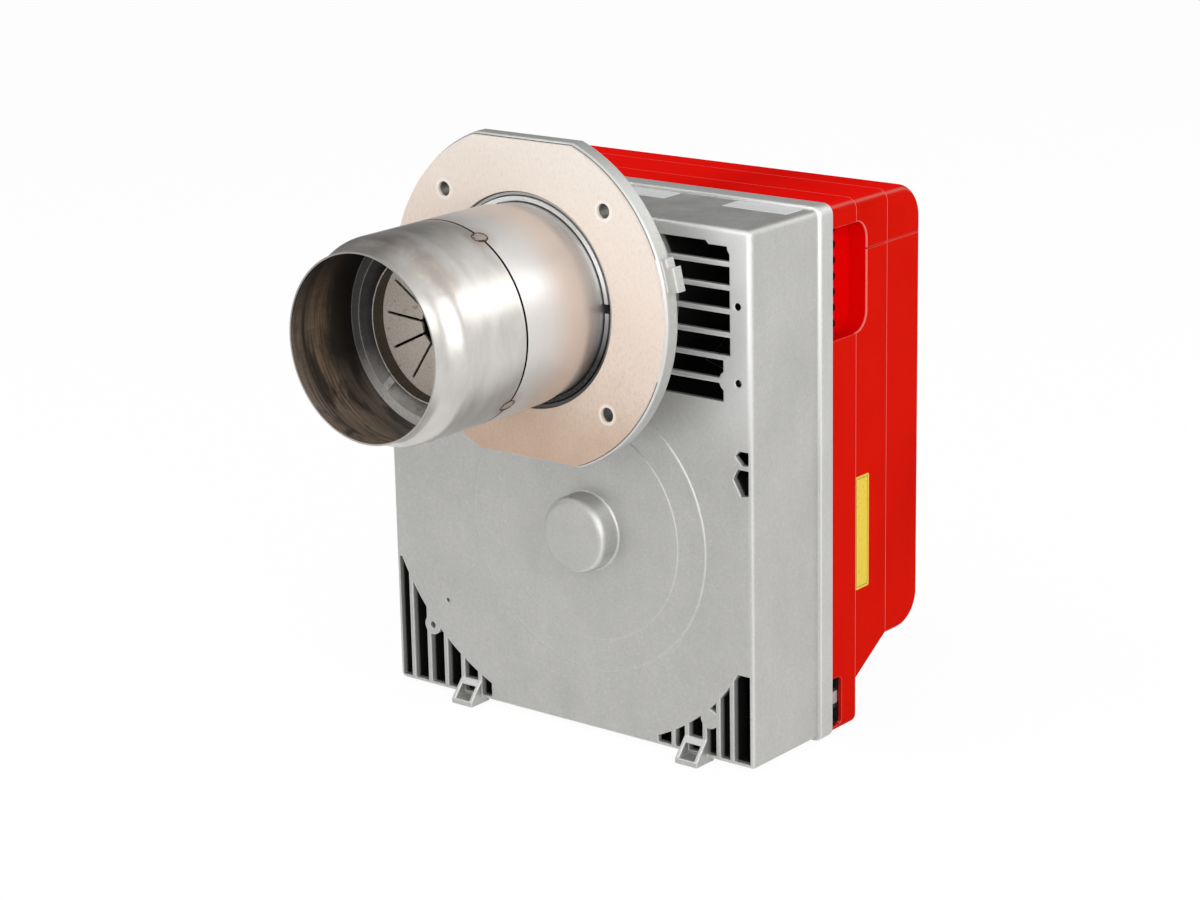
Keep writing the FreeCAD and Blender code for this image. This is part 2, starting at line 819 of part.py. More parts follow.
def electrodes():
    rods = []
    for x, z, side in electrode_places():
        bend = Vector(x, insulator_front_y, z)
        tip = Vector(side * electrode_gap / 2, disc_front_y + electrode_tip_setback, -electrode_tip_drop)
        straight = cylinder(electrode_radius, insulator_front_y, insulator_back_y + electrode_tail_length,
                            x, z)
        slant = Part.makeCylinder(electrode_radius, (tip - bend).Length, bend, tip - bend)
        knee = Part.makeSphere(electrode_radius, bend)
        reach = electrode_spread + electrode_drop
        before_bend = block(-reach, reach, tip.y - reach, insulator_front_y, -reach, reach)
        knee = knee.common(before_bend)
        slant = slant.common(before_bend)
        rods.append(joined([straight, knee, slant]))
    return Part.makeCompound(rods)


def electrode_holder():
    y0 = insulator_front_y + holder_setback
    y1 = y0 + holder_thickness
    half = electrode_spread + insulator_radius + holder_margin
    body = block(-half, half, y0, y1, -electrode_drop - insulator_radius - holder_margin,
                 preheater_radius + holder_margin)
    holes = [cylinder(preheater_radius + fit_gap, y0 - 1, y1 + 1)]
    for x, z, side in electrode_places():
        holes.append(cylinder(insulator_radius + fit_gap, y0 - 1, y1 + 1, x, z))
    return without(body, holes)


# Housing casting

# The part cut off the upper left corner, moved inwards by inset
def corner_wedge(inset, y0, y1):
    line = housing_top + housing_left - corner_cut - inset * math.sqrt(2)
    x0 = -housing_left - corner_cut
    z1 = housing_top + corner_cut
    return prism([(x0, x0 + line), (z1 - line, z1), (x0, z1)], y0, y1)


def inner_room(y0, y1):
    room = block(-housing_left + housing_wall, housing_right - housing_wall, y0, y1,
                 -housing_bottom + housing_wall, housing_top - housing_wall)
    return room.cut(corner_wedge(housing_wall, y0 - 1, y1 + 1))


# Space under fan pressure, made larger all round by grow
def pressure_space(grow, y0, y1):
    left = -housing_left + housing_wall - grow
    below = -housing_bottom * 2
    neck = cylinder(neck_room_radius + grow, y0, y1)
    right = cylinder(scroll_right_radius + grow, y0, y1, scroll_right_x, -scroll_right_drop)
    right = right.common(block(0, housing_right * 2, y0, y1, -scroll_right_drop - grow, housing_top))
    low = axle(scroll_low_radius + grow, y0, y1)
    low = low.common(block(scroll_left_x, housing_right * 2, y0, y1, below, fan_z))
    low_left = cylinder(scroll_left_radius + grow, y0, y1, scroll_left_x, -scroll_left_drop)
    low_left = low_left.common(block(left, scroll_left_x, y0, y1, below, -scroll_left_drop))
    duct = block(left, 0, y0, y1, -scroll_left_drop, housing_top * 2)
    middle = block(scroll_left_x, scroll_right_x, y0, y1, fan_z, -scroll_left_drop)
    return joined([neck, right, low, low_left, duct, middle])


def side_chambers(y0, y1):
    return inner_room(y0, y1).cut(pressure_space(scroll_wall, y0 - 1, y1 + 1))


def post_places():
    inset = post_inset
    return [(-housing_left + corner_cut + inset, housing_top - inset),
            (-housing_left + inset, fan_z + left_post_rise),
            (left_rib_first + low_left_post_shift, -housing_bottom + low_left_post_rise),
            (foot_right_x + foot_width / 2 + post_radius / 3, -housing_bottom + low_right_post_rise),
            (slot_short_end + post_radius / 2, row_bottom(slot_row_count - slot_short_rows) - slot_rib / 2),
            (housing_right - inset, housing_top - inset)]


def posts(radius, y0, y1):
    return [cylinder(radius, y0, y1, x, z) for x, z in post_places()]


def row_bottom(row):
    return slot_row_top - slot_pitch * (row + 1) + slot_rib


def air_slots(y0, y1):
    slots = []
    for row in range(slot_row_count):
        bottom = row_bottom(row)
        top = bottom + slot_pitch - slot_rib
        end = slot_row_end if row < slot_row_count - slot_short_rows else slot_short_end
        slot = block(0, end, y0, y1, bottom, top)
        if row == 0:
            run = end - slot_corner_run
            corner = prism([(run, top - slot_corner_drop), (end + 1, top - slot_corner_drop),
                            (end + 1, top + 1), (run - slot_corner_drop - 1, top + 1)], y0, y1)
            slot = slot.cut(corner)
        slots.append(slot)
    return slots


def rib_places():
    left = [left_rib_first + left_rib_pitch * i for i in range(left_rib_count)]
    foot_low = foot_right_x - (foot_width - slot_rib) / 2
    foot_high = foot_right_x + (foot_width - slot_rib) / 2
    right = [foot_low - right_rib_pitch, foot_low, foot_high, foot_high + right_rib_pitch,
             foot_high + 2 * right_rib_pitch]
    return left + right


def low_ribs(y0, y1):
    floor = -housing_bottom
    return [block(x - slot_rib / 2, x + slot_rib / 2, y0, y1, floor, fan_z) for x in rib_places()]


# Corner openings below the fan, left open only outside the scroll
def low_openings(y0, y1):
    left_end = left_rib_first + left_rib_pitch * (left_rib_count - 1)
    right_start = foot_right_x - foot_width / 2 - 2 * right_rib_pitch
    floor = -housing_bottom
    zones = [block(-housing_left, left_end + left_rib_pitch * 0.7, y0, y1, floor, floor + low_left_height),
             block(right_start, housing_right, y0, y1, floor, floor + low_right_height)]
    return [without(zone, low_ribs(y0 - 1, y1 + 1)) for zone in zones]


# Two five-sided windows beside the scroll, each with its point towards the fan
def side_windows(y0, y1):
    right = housing_right - housing_wall
    windows = []
    for top, reach, height in window_sizes:
        windows.append(prism([(right, -top), (right - reach * 0.7, -top),
                              (right - reach, -top - height * 0.4), (right - reach * 0.5, -top - height),
                              (right, -top - height * 0.95)], y0, y1))
    return windows


def small_holes(y0, y1):
    right = housing_right - small_hole_inset
    third_rib = row_bottom(2) + small_hole_radius
    sixth_rib = row_bottom(5) - slot_rib / 2
    ear_x, ear_z = post_places()[2]
    places = [(right, third_rib), (right, sixth_rib), (ear_x, ear_z)]
    holes = [cylinder(small_hole_radius, y0, y1, x, z) for x, z in places]
    return holes + [cylinder(tapping_radius, y0, y1, -tapping_offset, fan_z - tapping_drop)]


def foot_loop(x):
    y0 = housing_front_y - foot_reach
    y1 = housing_front_y + foot_back
    floor = -housing_bottom
    half = foot_width / 2
    side = [(housing_front_y + housing_edge_radius, floor + foot_rise), (housing_front_y, floor + foot_rise),
            (y0, floor), (y0, floor - foot_drop), (y1, floor - foot_drop), (y1, floor),
            (housing_front_y + housing_edge_radius, floor)]
    wire = Part.makePolygon([Vector(x - half, y, z) for y, z in side + side[:1]])
    wedge = Part.Face(wire).extrude(Vector(foot_width, 0, 0))
    window = block(x - half + foot_wall, x + half - foot_wall, y0 - 1, y1 + 1, floor + foot_window_lift,
                   floor + foot_window_lift + foot_window_height)
    return wedge.cut(window)


def fan_boss():
    y0 = housing_front_y - boss_height
    centre = Vector(boss_radius - boss_edge_radius, y0 + boss_edge_radius, 0)
    diagonal = boss_edge_radius * math.sqrt(0.5)
    outer_arc = Part.Arc(Vector(centre.x, y0, 0), centre + Vector(diagonal, -diagonal, 0),
                         Vector(boss_radius, centre.y, 0)).toShape()
    root = Vector(boss_radius + boss_fillet, housing_front_y - boss_fillet, 0)
    shift = boss_fillet * math.sqrt(0.5)
    root_arc = Part.Arc(Vector(boss_radius, root.y, 0), root + Vector(-shift, shift, 0),
                        Vector(root.x, housing_front_y, 0)).toShape()
    back_y = housing_front_y + 1
    lines = [((0, y0), (centre.x, y0)), ((boss_radius, centre.y), (boss_radius, root.y)),
             ((root.x, housing_front_y), (root.x, back_y)), ((root.x, back_y), (0, back_y)),
             ((0, back_y), (0, y0))]
    edges = [Part.makeLine(Vector(r0, ya, 0), Vector(r1, yb, 0)) for (r0, ya), (r1, yb) in lines]
    wire = Part.Wire(Part.__sortEdges__(edges + [outer_arc, root_arc]))
    boss = Part.Face(wire).revolve(Vector(0, 0, 0), Vector(0, 1, 0), 360)
    boss.translate(Vector(0, 0, fan_z))
    return boss


def housing_casting():
    left, right, top, bottom = -housing_left, housing_right, housing_top, -housing_bottom
    shell = rounded_block(left, right, housing_front_y, plate_front_y, bottom, top, housing_edge_radius)
    shell = shell.cut(corner_wedge(0, housing_front_y - 1, plate_front_y - housing_wall))
    shell = round_rim(shell, housing_front_y, housing_edge_radius * 0.95)
    rim = rounded_block(left - rim_proud, right + rim_proud, plate_front_y, rim_back_y,
                        bottom - rim_proud, top + rim_proud, housing_edge_radius + rim_proud)
    rim = round_rim(rim, plate_front_y, rim_edge_radius)
    neck = cylinder(neck_bore_radius + neck_wall, flange_back_y, housing_room_y)
    neck_foot = cylinder(neck_foot_radius, flange_back_y, flange_back_y + neck_foot_thickness)
    emboss = [axle(emboss_outer_radius, housing_front_y - emboss_step, housing_front_y + 1),
              axle(emboss_inner_radius, housing_front_y - 1.5 * emboss_step, housing_front_y + 1)]
    solid = joined([shell, rim, neck, neck_foot, fan_boss()] + emboss)
    room = pressure_space(0, housing_room_y, plate_front_y).common(inner_room(housing_room_y, plate_front_y))
    chambers = side_chambers(housing_room_y, plate_front_y)
    tray = rounded_block(left - rim_proud + rim_wall, right + rim_proud - rim_wall, plate_front_y,
                         rim_back_y + 1, bottom - rim_proud + rim_wall, top + rim_proud - rim_wall,
                         housing_edge_radius)
    neck_bore = cylinder(neck_bore_radius, flange_back_y - 1, housing_front_y)
    neck_mouth = cylinder(neck_bore_radius, housing_front_y - 1, housing_room_y + 1)
    neck_mouth = neck_mouth.common(inner_room(housing_front_y - 1, housing_room_y + 1))
    boss_room = axle(boss_radius - boss_wall, housing_front_y - boss_height + boss_wall, housing_room_y + 1)
    solid = without(solid, [tray, neck_bore, neck_mouth, boss_room])
    solid = solid.cut(joined([room, chambers]))
    y0, y1 = housing_front_y - 2, housing_room_y + 1
    openings = Part.makeCompound(air_slots(y0, y1) + low_openings(y0, y1) + side_windows(y0, y1))
    face_cut = without(openings.common(side_chambers(y0, y1)), posts(post_radius, 0, rim_back_y))
    solid = solid.cut(face_cut)
    deep_ribs = Part.makeCompound(low_ribs(housing_room_y, housing_room_y + rib_depth))
    deep_ribs = deep_ribs.common(side_chambers(housing_room_y, plate_front_y))
    columns = [p.common(inner_room(housing_room_y, plate_front_y))
               for p in posts(post_radius, housing_room_y, plate_front_y)]
    feet = [foot_loop(foot_left_x), foot_loop(foot_right_x)]
    solid = joined([solid] + deep_ribs.Solids + columns + feet)
    threads = posts(plate_screw_radius + running_gap, plate_front_y - post_hole_depth, plate_front_y + 1)
    screw_holes = [cylinder(flange_screw_radius + running_gap, flange_back_y - 1,
                            flange_back_y + neck_foot_thickness + 1, x, z) for x, z in flange_screw_places()]
    clamp_holes = radial_pins(clamp_screw_radius + running_gap, neck_bore_radius - 1,
                              neck_bore_radius + neck_wall + 1)
    drills = threads + screw_holes + clamp_holes + small_holes(y0, y1)
    return without(solid, drills)


# Component plate

def plate_bounds():
    gap = seat_gap + rim_wall - rim_proud
    return (-housing_left + gap, housing_right - gap, -housing_bottom + gap, housing_top - gap)


def door_screw_places():
    return spaced(nozzle_door_screw_count, (nozzle_door_radius + nozzle_door_hole_radius) / 2, 90)


def plate_air_opening(y0, y1):
    top = intake_top - intake_wall - wall_gap
    x0 = duct_x - plate_air_width / 2
    return block(x0, x0 + plate_air_width, y0, y1, top - plate_air_height, top)


def component_plate():
    x0, x1, z0, z1 = plate_bounds()
    plate = rounded_block(x0, x1, plate_front_y, plate_back_y, z0, z1, housing_edge_radius - seat_gap)
    y0, y1 = plate_front_y - 1, plate_back_y + 1
    holes = [cylinder(nozzle_door_hole_radius, y0, y1), axle(inlet_radius + inlet_wall + fit_gap, y0, y1),
             plate_air_opening(y0, y1)]
    holes += posts(plate_screw_radius + running_gap, y0, y1)
    holes += [cylinder(nozzle_door_screw_radius + running_gap, y0, y1, x, z) for x, z in door_screw_places()]
    bearing = cylinder(damper_shaft_radius + running_gap, plate_back_y - plate_thickness / 2, y1,
                       duct_x, -damper_drop)
    return without(plate, holes + [bearing])


def plate_screws():
    length = plate_thickness + post_hole_depth - seat_gap
    return Part.makeCompound([cap_screw(plate_screw_radius, length, plate_back_y, x, z)
                              for x, z in post_places()])


def nozzle_door():
    plate = cylinder(nozzle_door_radius, plate_back_y, door_back_y)
    lance_boss = cylinder(lance_boss_radius, door_back_y, door_back_y + lance_boss_length)
    adjuster_boss = cylinder(adjuster_boss_radius, door_back_y, door_back_y + adjuster_boss_length,
                             0, adjuster_rise)
    y0, y1 = plate_back_y - 1, door_back_y + lance_boss_length + 1
    holes = [cylinder(lance_radius + running_gap, y0, y1),
             cylinder(adjuster_radius + running_gap, door_back_y, y1, 0, adjuster_rise),
             cylinder(sensor_radius + fit_gap, y0, y1, sensor_x, sensor_z)]
    holes += [cylinder(lead_radius + seat_gap, y0, y1, x, z) for x, z, side in electrode_places()]
    holes += [cylinder(nozzle_door_screw_radius + running_gap, y0, y1, x, z) for x, z in door_screw_places()]
    return without(joined([plate, lance_boss, adjuster_boss]), holes)


def nozzle_door_screws():
    length = nozzle_door_thickness + plate_thickness - 2 * seat_gap
    return Part.makeCompound([cap_screw(nozzle_door_screw_radius, length, door_back_y, x, z)
                              for x, z in door_screw_places()])


def adjusting_screw():
    head_y = bracket_y + bracket_thickness + adjuster_tail
    back_y = head_y + adjuster_head_length
    shank = cylinder(adjuster_radius, door_back_y + seat_gap, head_y, 0, adjuster_rise)
    head = cylinder(adjuster_head_radius, head_y, back_y, 0, adjuster_rise)
    socket = hexagon(adjuster_radius * 1.6, back_y - adjuster_head_length / 2, back_y + 1, 0, adjuster_rise)
    return joined([shank, head]).cut(socket)


# Fan

def fan_blade(y0, y1):
    width = fan_radius - fan_inner_radius
    length = width / math.cos(math.radians(fan_blade_lean)) + width / 4
    blade = block(0, length, y0, y1, -fan_blade_thickness / 2, fan_blade_thickness / 2)
    blade.rotate(Vector(0, 0, 0), Vector(0, 1, 0), -fan_blade_lean)
    blade.translate(Vector(fan_inner_radius + fan_blade_thickness, 0, 0))
    return blade.common(ring(fan_radius, fan_inner_radius, y0, y1))


def fan_wheel():
    disc_back = fan_front_y + fan_disc_thickness
    disc = cylinder(fan_radius, fan_front_y, disc_back)
    hub = cylinder(fan_hub_radius, fan_front_y, fan_front_y + fan_hub_length)
    rim = ring(fan_radius, fan_inner_radius, fan_back_y - fan_rim_thickness, fan_back_y)
    blade = fan_blade(disc_back - fan_disc_thickness / 2, fan_back_y - fan_rim_thickness / 2)
    blades = [about_y(blade, 360 * i / fan_blade_count) for i in range(fan_blade_count)]
    wheel = joined([disc, hub, rim] + blades)
    wheel = without(wheel, [cylinder(shaft_thread_radius + running_gap, fan_front_y - 1,
                                     fan_front_y + fan_hub_length),
                            cylinder(shaft_radius + running_gap, fan_front_y + fan_disc_thickness,
                                     fan_front_y + fan_hub_length + 1)])
    wheel.translate(Vector(0, 0, fan_z))
    return wheel


def fan_nut():
    nut = hexagon(fan_nut_flats, fan_nut_y, fan_front_y, 0, fan_z)
    return nut.cut(axle(shaft_thread_radius + running_gap, fan_nut_y - 1, fan_front_y + 1))


def inlet_ring():
    flange_y = plate_back_y + inlet_flange_thickness
    tube = axle_ring(inlet_radius + inlet_wall, inlet_radius, plate_front_y - inlet_length, flange_y)
    flange = axle_ring(inlet_flange_radius, inlet_radius, plate_back_y, flange_y)
    return joined([tube, flange])


# Air intake box and damper

def intake_outline(inset):
    return [(-intake_left + inset, -intake_bottom + inset), (intake_right - inset, -intake_bottom + inset),
            (intake_right - inset, intake_top - inset), (intake_duct_left + inset, intake_top - inset),
            (intake_duct_left + inset, -intake_shoulder - inset),
            (-intake_left + inset, -intake_shoulder - inset)]


def intake_box():
    outer = prism(intake_outline(0), plate_back_y, intake_back_y)
    room = prism(intake_outline(intake_wall), plate_back_y - 1, intake_back_y - intake_wall)
    y0, y1 = intake_back_y - intake_wall - 1, intake_back_y + 1
    holes = [axle(motor_radius + seat_gap, y0, y1),
             cylinder(damper_shaft_radius + running_gap, y0, y1, duct_x, -damper_drop)]
    holes += [cylinder(motor_screw_radius + running_gap, y0, y1, x, z) for x, z in motor_screw_places()]
    scale = ring(damper_scale_radius, damper_shaft_radius * 2, intake_back_y - intake_wall / 2,
                 intake_back_y + damper_scale_thickness, duct_x, -damper_drop)
    return without(outer, [room] + holes).fuse(scale).removeSplitter()


def damper_flap():
    y0 = plate_back_y + seat_gap
    y1 = intake_back_y - intake_wall - seat_gap
    blade = block(duct_x - damper_half_width, duct_x + damper_half_width, y0, y1,
                  -damper_drop - damper_thickness / 2, -damper_drop + damper_thickness / 2)
    sleeve = cylinder(damper_shaft_radius + damper_thickness, y0, y1, duct_x, -damper_drop)
    return joined([blade, sleeve]).cut(
        cylinder(damper_shaft_radius + running_gap, y0 - 1, y1 + 1, duct_x, -damper_drop))


def damper_shaft():
    return cylinder(damper_shaft_radius, plate_back_y - plate_thickness / 2 + seat_gap,
                    intake_back_y + damper_shaft_tail, duct_x, -damper_drop)


def damper_dial():
    y0 = intake_back_y + damper_scale_thickness + seat_gap
    y1 = y0 + damper_dial_thickness
    knob = cylinder(damper_dial_radius, y0, y1, duct_x, -damper_drop)
    pointer = block(duct_x - damper_thickness, duct_x + damper_thickness, y0, y0 + damper_thickness,
                    -damper_drop, -damper_drop + damper_scale_radius - damper_thickness)
    grip = block(duct_x - damper_dial_radius * 0.8, duct_x + damper_dial_radius * 0.8, y1,
                 y1 + damper_dial_thickness, -damper_drop - damper_thickness - 1,
                 -damper_drop + damper_thickness + 1)
    bore = cylinder(damper_shaft_radius + running_gap, y0 - 1, y1 + damper_dial_thickness + 1, duct_x,
                    -damper_drop)
    return joined([knob, pointer, grip]).cut(bore)


# Motor

def motor_screw_places():
    return spaced(motor_screw_count, motor_screw_circle, 45, 0, fan_z)


def motor_can():
    can = axle_ring(motor_radius, motor_radius - motor_wall, motor_front_y + motor_front_bell,
                    motor_back_y - motor_rear_bell)
    flange = axle_ring(motor_flange_radius, motor_radius - motor_wall, intake_back_y,
                       intake_back_y + motor_flange_thickness)
    holes = [cylinder(motor_screw_radius + running_gap, intake_back_y - 1,
                      intake_back_y + motor_flange_thickness + 1, x, z) for x, z in motor_screw_places()]
    return without(joined([can, flange]), holes)


def bearing_seat(y0, y1, bearing_y):
    plate = axle(motor_radius, y0, y1)
    seat = axle(bearing_radius + bearing_seat_wall, min(y0, bearing_y), max(y1, bearing_y + bearing_width))
    pocket = axle(bearing_radius + running_gap, bearing_y, bearing_y + bearing_width)
    return joined([plate, seat]), pocket


def motor_front_cap():
    y1 = motor_front_y + motor_front_bell
    body, pocket = bearing_seat(motor_front_y, y1, front_bearing_y)
    open_end = axle(bearing_radius + running_gap, front_bearing_y, front_bearing_y + bearing_width + 1)
    bore = axle(shaft_radius + seat_gap, motor_front_y - 1, front_bearing_y + 1)
    return without(body, [pocket, open_end, bore])


def motor_rear_cap():
    y0 = motor_back_y - motor_rear_bell
    body, pocket = bearing_seat(y0, motor_back_y, rear_bearing_y)
    open_end = axle(bearing_radius + running_gap, rear_bearing_y - 1, rear_bearing_y + bearing_width)
    bore = axle(shaft_radius + seat_gap, rear_bearing_y, motor_back_y + 1)
    collar = axle_ring(pump_collar_radius, pump_spigot_radius + running_gap, motor_back_y, pump_front_y)
    return joined([without(body, [pocket, open_end, bore]), collar])


def motor_bearings():
    return Part.makeCompound([axle_ring(bearing_radius, shaft_radius + running_gap, y, y + bearing_width)
                              for y in (front_bearing_y, rear_bearing_y)])


def stator_y():
    return (motor_front_y + motor_back_y - stator_length) / 2


def motor_stator():
    return axle_ring(motor_radius - motor_wall - running_gap, stator_bore_radius, stator_y(),
                     stator_y() + stator_length)


def motor_rotor():
    core = axle_ring(stator_bore_radius - rotor_gap, shaft_radius, stator_y(), stator_y() + stator_length)
    shoulder_y = fan_front_y + fan_disc_thickness
    shaft = joined([axle(shaft_thread_radius, fan_nut_y - shaft_thread_radius / 2, shoulder_y),
                    axle(shaft_radius, shoulder_y, coupling_y + coupling_bite)])
    return Part.makeCompound([core, shaft])


def motor_screws():
    length = motor_flange_thickness + intake_wall
    head_y = intake_back_y + motor_flange_thickness
    return Part.makeCompound([cap_screw(motor_screw_radius, length, head_y, x, z)
                              for x, z in motor_screw_places()])


def capacitor_y():
    return intake_back_y + clip_thickness + capacitor_radius


def motor_capacitor():
    return Part.makeCylinder(capacitor_radius, capacitor_length,
                             Vector(capacitor_x, capacitor_y(), capacitor_z), Vector(0, 0, 1))


def capacitor_clip():
    z0 = capacitor_z + (capacitor_length - clip_width) / 2
    outer = capacitor_radius + clip_thickness
    y = capacitor_y()
    band = Part.makeCylinder(outer, clip_width, Vector(capacitor_x, y, z0), Vector(0, 0, 1))
    band = band.fuse(block(capacitor_x - outer, capacitor_x + outer, intake_back_y,
                           intake_back_y + clip_thickness, z0, z0 + clip_width)).removeSplitter()
    band = band.common(block(capacitor_x - outer, capacitor_x + outer, intake_back_y, y + outer, z0,
                             z0 + clip_width))
    return band.cut(Part.makeCylinder(capacitor_radius + running_gap, clip_width + 2,
                                      Vector(capacitor_x, y, z0 - 1), Vector(0, 0, 1)))


# Oil pump

def coupling_end():
    return coupling_y + coupling_length


def pump_coupling():
    sleeve = axle(coupling_radius, coupling_y, coupling_end())
    return without(sleeve, [axle(shaft_radius + running_gap, coupling_y - 1,
                                 coupling_y + coupling_bite + seat_gap),
                            axle(pump_shaft_radius + running_gap, coupling_y, coupling_end() + 1)])


def pump_shaft():
    return axle(pump_shaft_radius, coupling_end() - coupling_bite, pump_cover_y - seat_gap)


def pump_screw_places():
    reach = pump_half_width - pump_screw_inset
    return [(x, fan_z + z) for x in (-reach, reach) for z in (-reach, reach)]


def pump_body():
    half = pump_half_width
    body = rounded_block(-half, half, pump_front_y, pump_cover_y, fan_z - half, fan_z + half,
                         pump_corner_radius)
    spigot = axle(pump_spigot_radius, pump_front_y - pump_spigot_length, pump_front_y)
    hollow = axle(coupling_radius + fit_gap * 10, pump_front_y - pump_spigot_length - 1,
                  pump_front_y + seat_gap)
    bore = axle(pump_shaft_radius + running_gap, pump_front_y - 1, pump_cover_y + 1)
    threads = [cylinder(pump_screw_radius + running_gap, pump_cover_y - 4 * pump_screw_radius,
                        pump_cover_y + 1, x, z) for x, z in pump_screw_places()]
    return without(joined([body, spigot]), [hollow, bore] + threads)


def pump_cover():
    half = pump_half_width
    cover = rounded_block(-half, half, pump_cover_y, pump_back_y, fan_z - half, fan_z + half,
                          pump_corner_radius)
    cover = round_rim(cover, pump_back_y, pump_screw_radius / 2)
    holes = [cylinder(pump_screw_radius + running_gap, pump_cover_y - 1, pump_back_y + 1, x, z)
             for x, z in pump_screw_places()]
    holes.append(cylinder(pressure_screw_radius + running_gap, pump_cover_y + seat_gap, pump_back_y + 1,
                          0, fan_z - pressure_screw_offset))
    return without(cover, holes)


def pump_screws():
    length = pump_cover_thickness + 4 * pump_screw_radius - seat_gap
    screws = []
    for x, z in pump_screw_places():
        shank = cylinder(pump_screw_radius, pump_back_y - length, pump_back_y, x, z)
        head = cylinder(pump_screw_radius * 1.7, pump_back_y, pump_back_y + pump_screw_radius, x, z)
        slot = block(x - 2 * pump_screw_radius, x + 2 * pump_screw_radius,
                     pump_back_y + pump_screw_radius / 2, pump_back_y + 2 * pump_screw_radius,
                     z - pump_screw_radius / 5, z + pump_screw_radius / 5)
        screws.append(joined([shank, head]).cut(slot))
    return Part.makeCompound(screws)


def pressure_screw():
    z = fan_z - pressure_screw_offset
    body = cylinder(pressure_screw_radius, pump_back_y - pressure_screw_length, pump_back_y + seat_gap, 0, z)
    return body.cut(hexagon(pressure_screw_radius, pump_back_y - pressure_screw_length / 2, pump_back_y + 1,
                            0, z))


def valve_stem():
    return Part.makeCylinder(valve_stem_radius, valve_stem_length, Vector(0, pump_middle_y, pump_top_z),
                             Vector(0, 0, 1))


def valve_coil():
    half = valve_coil_width / 2
    z0 = pump_top_z + seat_gap
    coil = block(-half, half, pump_middle_y - half, pump_middle_y + half, z0, z0 + valve_coil_height)
    coil = coil.makeFillet(half / 4, coil.Edges)
    return coil.cut(Part.makeCylinder(valve_stem_radius + running_gap, valve_stem_length * 2,
                                      Vector(0, pump_middle_y, pump_top_z - valve_stem_length / 2),
                                      Vector(0, 0, 1)))


def hose_fittings():
    fittings = []
    for side in (-1, 1):
        x = side * fitting_spread
        spanner = upright_hexagon(fitting_flats, x, pump_middle_y, pump_bottom_z - fitting_hex_length,
                                  pump_bottom_z)
        tail = Part.makeCylinder(fitting_barb_radius, fitting_length, Vector(x, pump_middle_y, pump_bottom_z),
                                 Vector(0, 0, -1))
        bore = Part.makeCylinder(fitting_barb_radius - 1.5, fitting_length + 1,
                                 Vector(x, pump_middle_y, pump_bottom_z - 2), Vector(0, 0, -1))
        fittings.append(joined([spanner, tail]).cut(bore))
    return Part.makeCompound(fittings)


def pipe_points():
    side = -pipe_side
    low = pump_top_z + union_length
    return [(side, pump_middle_y, low), (side, pump_middle_y, low * pipe_low_share),
            (0, pump_middle_y, low * pipe_high_share),
            (0, pump_middle_y, 0), (0, union_back_y, 0)]


# Pipe to the nozzle lance, with the nut that holds it to the pump
def oil_pipe():
    bend = pipe_bend_share * (pump_middle_y - union_back_y)
    x, y, z = pipe_points()[0]
    nut = upright_hexagon(union_flats, x, y, pump_top_z, z)
    return Part.makeCompound([bar(pipe_points(), pipe_radius, bend), nut])


# Ignition, flame sensor and control

def lead_setback(side):
    return plate_back_y + lead_first_setback + (lead_pitch if side > 0 else 0)


def ignition_unit():
    x0 = -ignition_left
    unit = block(x0, x0 + ignition_width, plate_back_y, plate_back_y + ignition_depth,
                 ignition_top - ignition_height, ignition_top)
    return unit.makeFillet(ignition_edge_radius, unit.Edges)


def ignition_leads():
    leads = []
    for x, z, side in electrode_places():
        y = lead_setback(side)
        boot_y = insulator_back_y + boot_gap
        wire = bar([(-ignition_left + ignition_width, y, z), (x, y, z), (x, boot_y + boot_length, z)],
                   lead_radius, lead_bend_radius)
        boot = cylinder(boot_radius, boot_y, boot_y + boot_length, x, z)
        bore = cylinder(electrode_radius + running_gap, boot_y - 1,
                        boot_y + electrode_tail_length + seat_gap, x, z)
        leads.append(joined([boot, wire]).cut(bore))
    return Part.makeCompound(leads)


def flame_sensor():
    nose = cylinder(sensor_radius, plate_back_y - sensor_nose, door_back_y, sensor_x, sensor_z)
    head = cylinder(sensor_head_radius, door_back_y, door_back_y + sensor_head_length, sensor_x, sensor_z)
    window = cylinder(sensor_radius - 1.5, plate_back_y - sensor_nose - 1, plate_back_y - sensor_nose + 2,
                      sensor_x, sensor_z)
    return joined([nose, head]).cut(window)


def burner_control():
    box = rounded_block(control_x0, intake_right, intake_back_y, control_back_y,
                        control_z1 - control_height, control_z1, control_edge_radius)
    box = round_rim(box, control_back_y, control_edge_radius * 0.9)
    tower = cylinder(button_radius + 3, control_back_y - 1, cover_inner_y - seat_gap, button_x, button_z)
    pocket = cylinder(button_radius + running_gap, control_back_y - button_seat - button_travel,
                      cover_inner_y + 1, button_x, button_z)
    return joined([box, tower]).cut(pocket)


def reset_button():
    y1 = cover_back_y + button_proud
    button = cylinder(button_radius, control_back_y - button_seat + seat_gap, y1, button_x, button_z)
    return round_rim(button, y1, button_radius / 6)


def socket_bounds(index):
    top = -socket_top - sum(socket_heights[:index])
    x1 = housing_right + rim_proud - cover_inset - cover_wall - wall_gap - seat_gap
    return x1 - socket_width, x1, top - socket_heights[index], top


def plug_socket(index, inset):
    x0, x1, z0, z1 = socket_bounds(index)
    return block(x0, x1 - inset, plate_back_y, plate_back_y + socket_depth - inset, z0, z1)


# Two sockets with their carrier between them
def connector_sockets():
    return Part.makeCompound([plug_socket(0, 0), plug_socket(1, wall_gap), plug_socket(2, 0)])


# Red cover

def cover_bounds(inset):
    return (-housing_left - rim_proud + cover_inset + inset, housing_right + rim_proud - cover_inset - inset,
            -housing_bottom - rim_proud + cover_inset + inset, housing_top + rim_proud - cover_inset - inset)


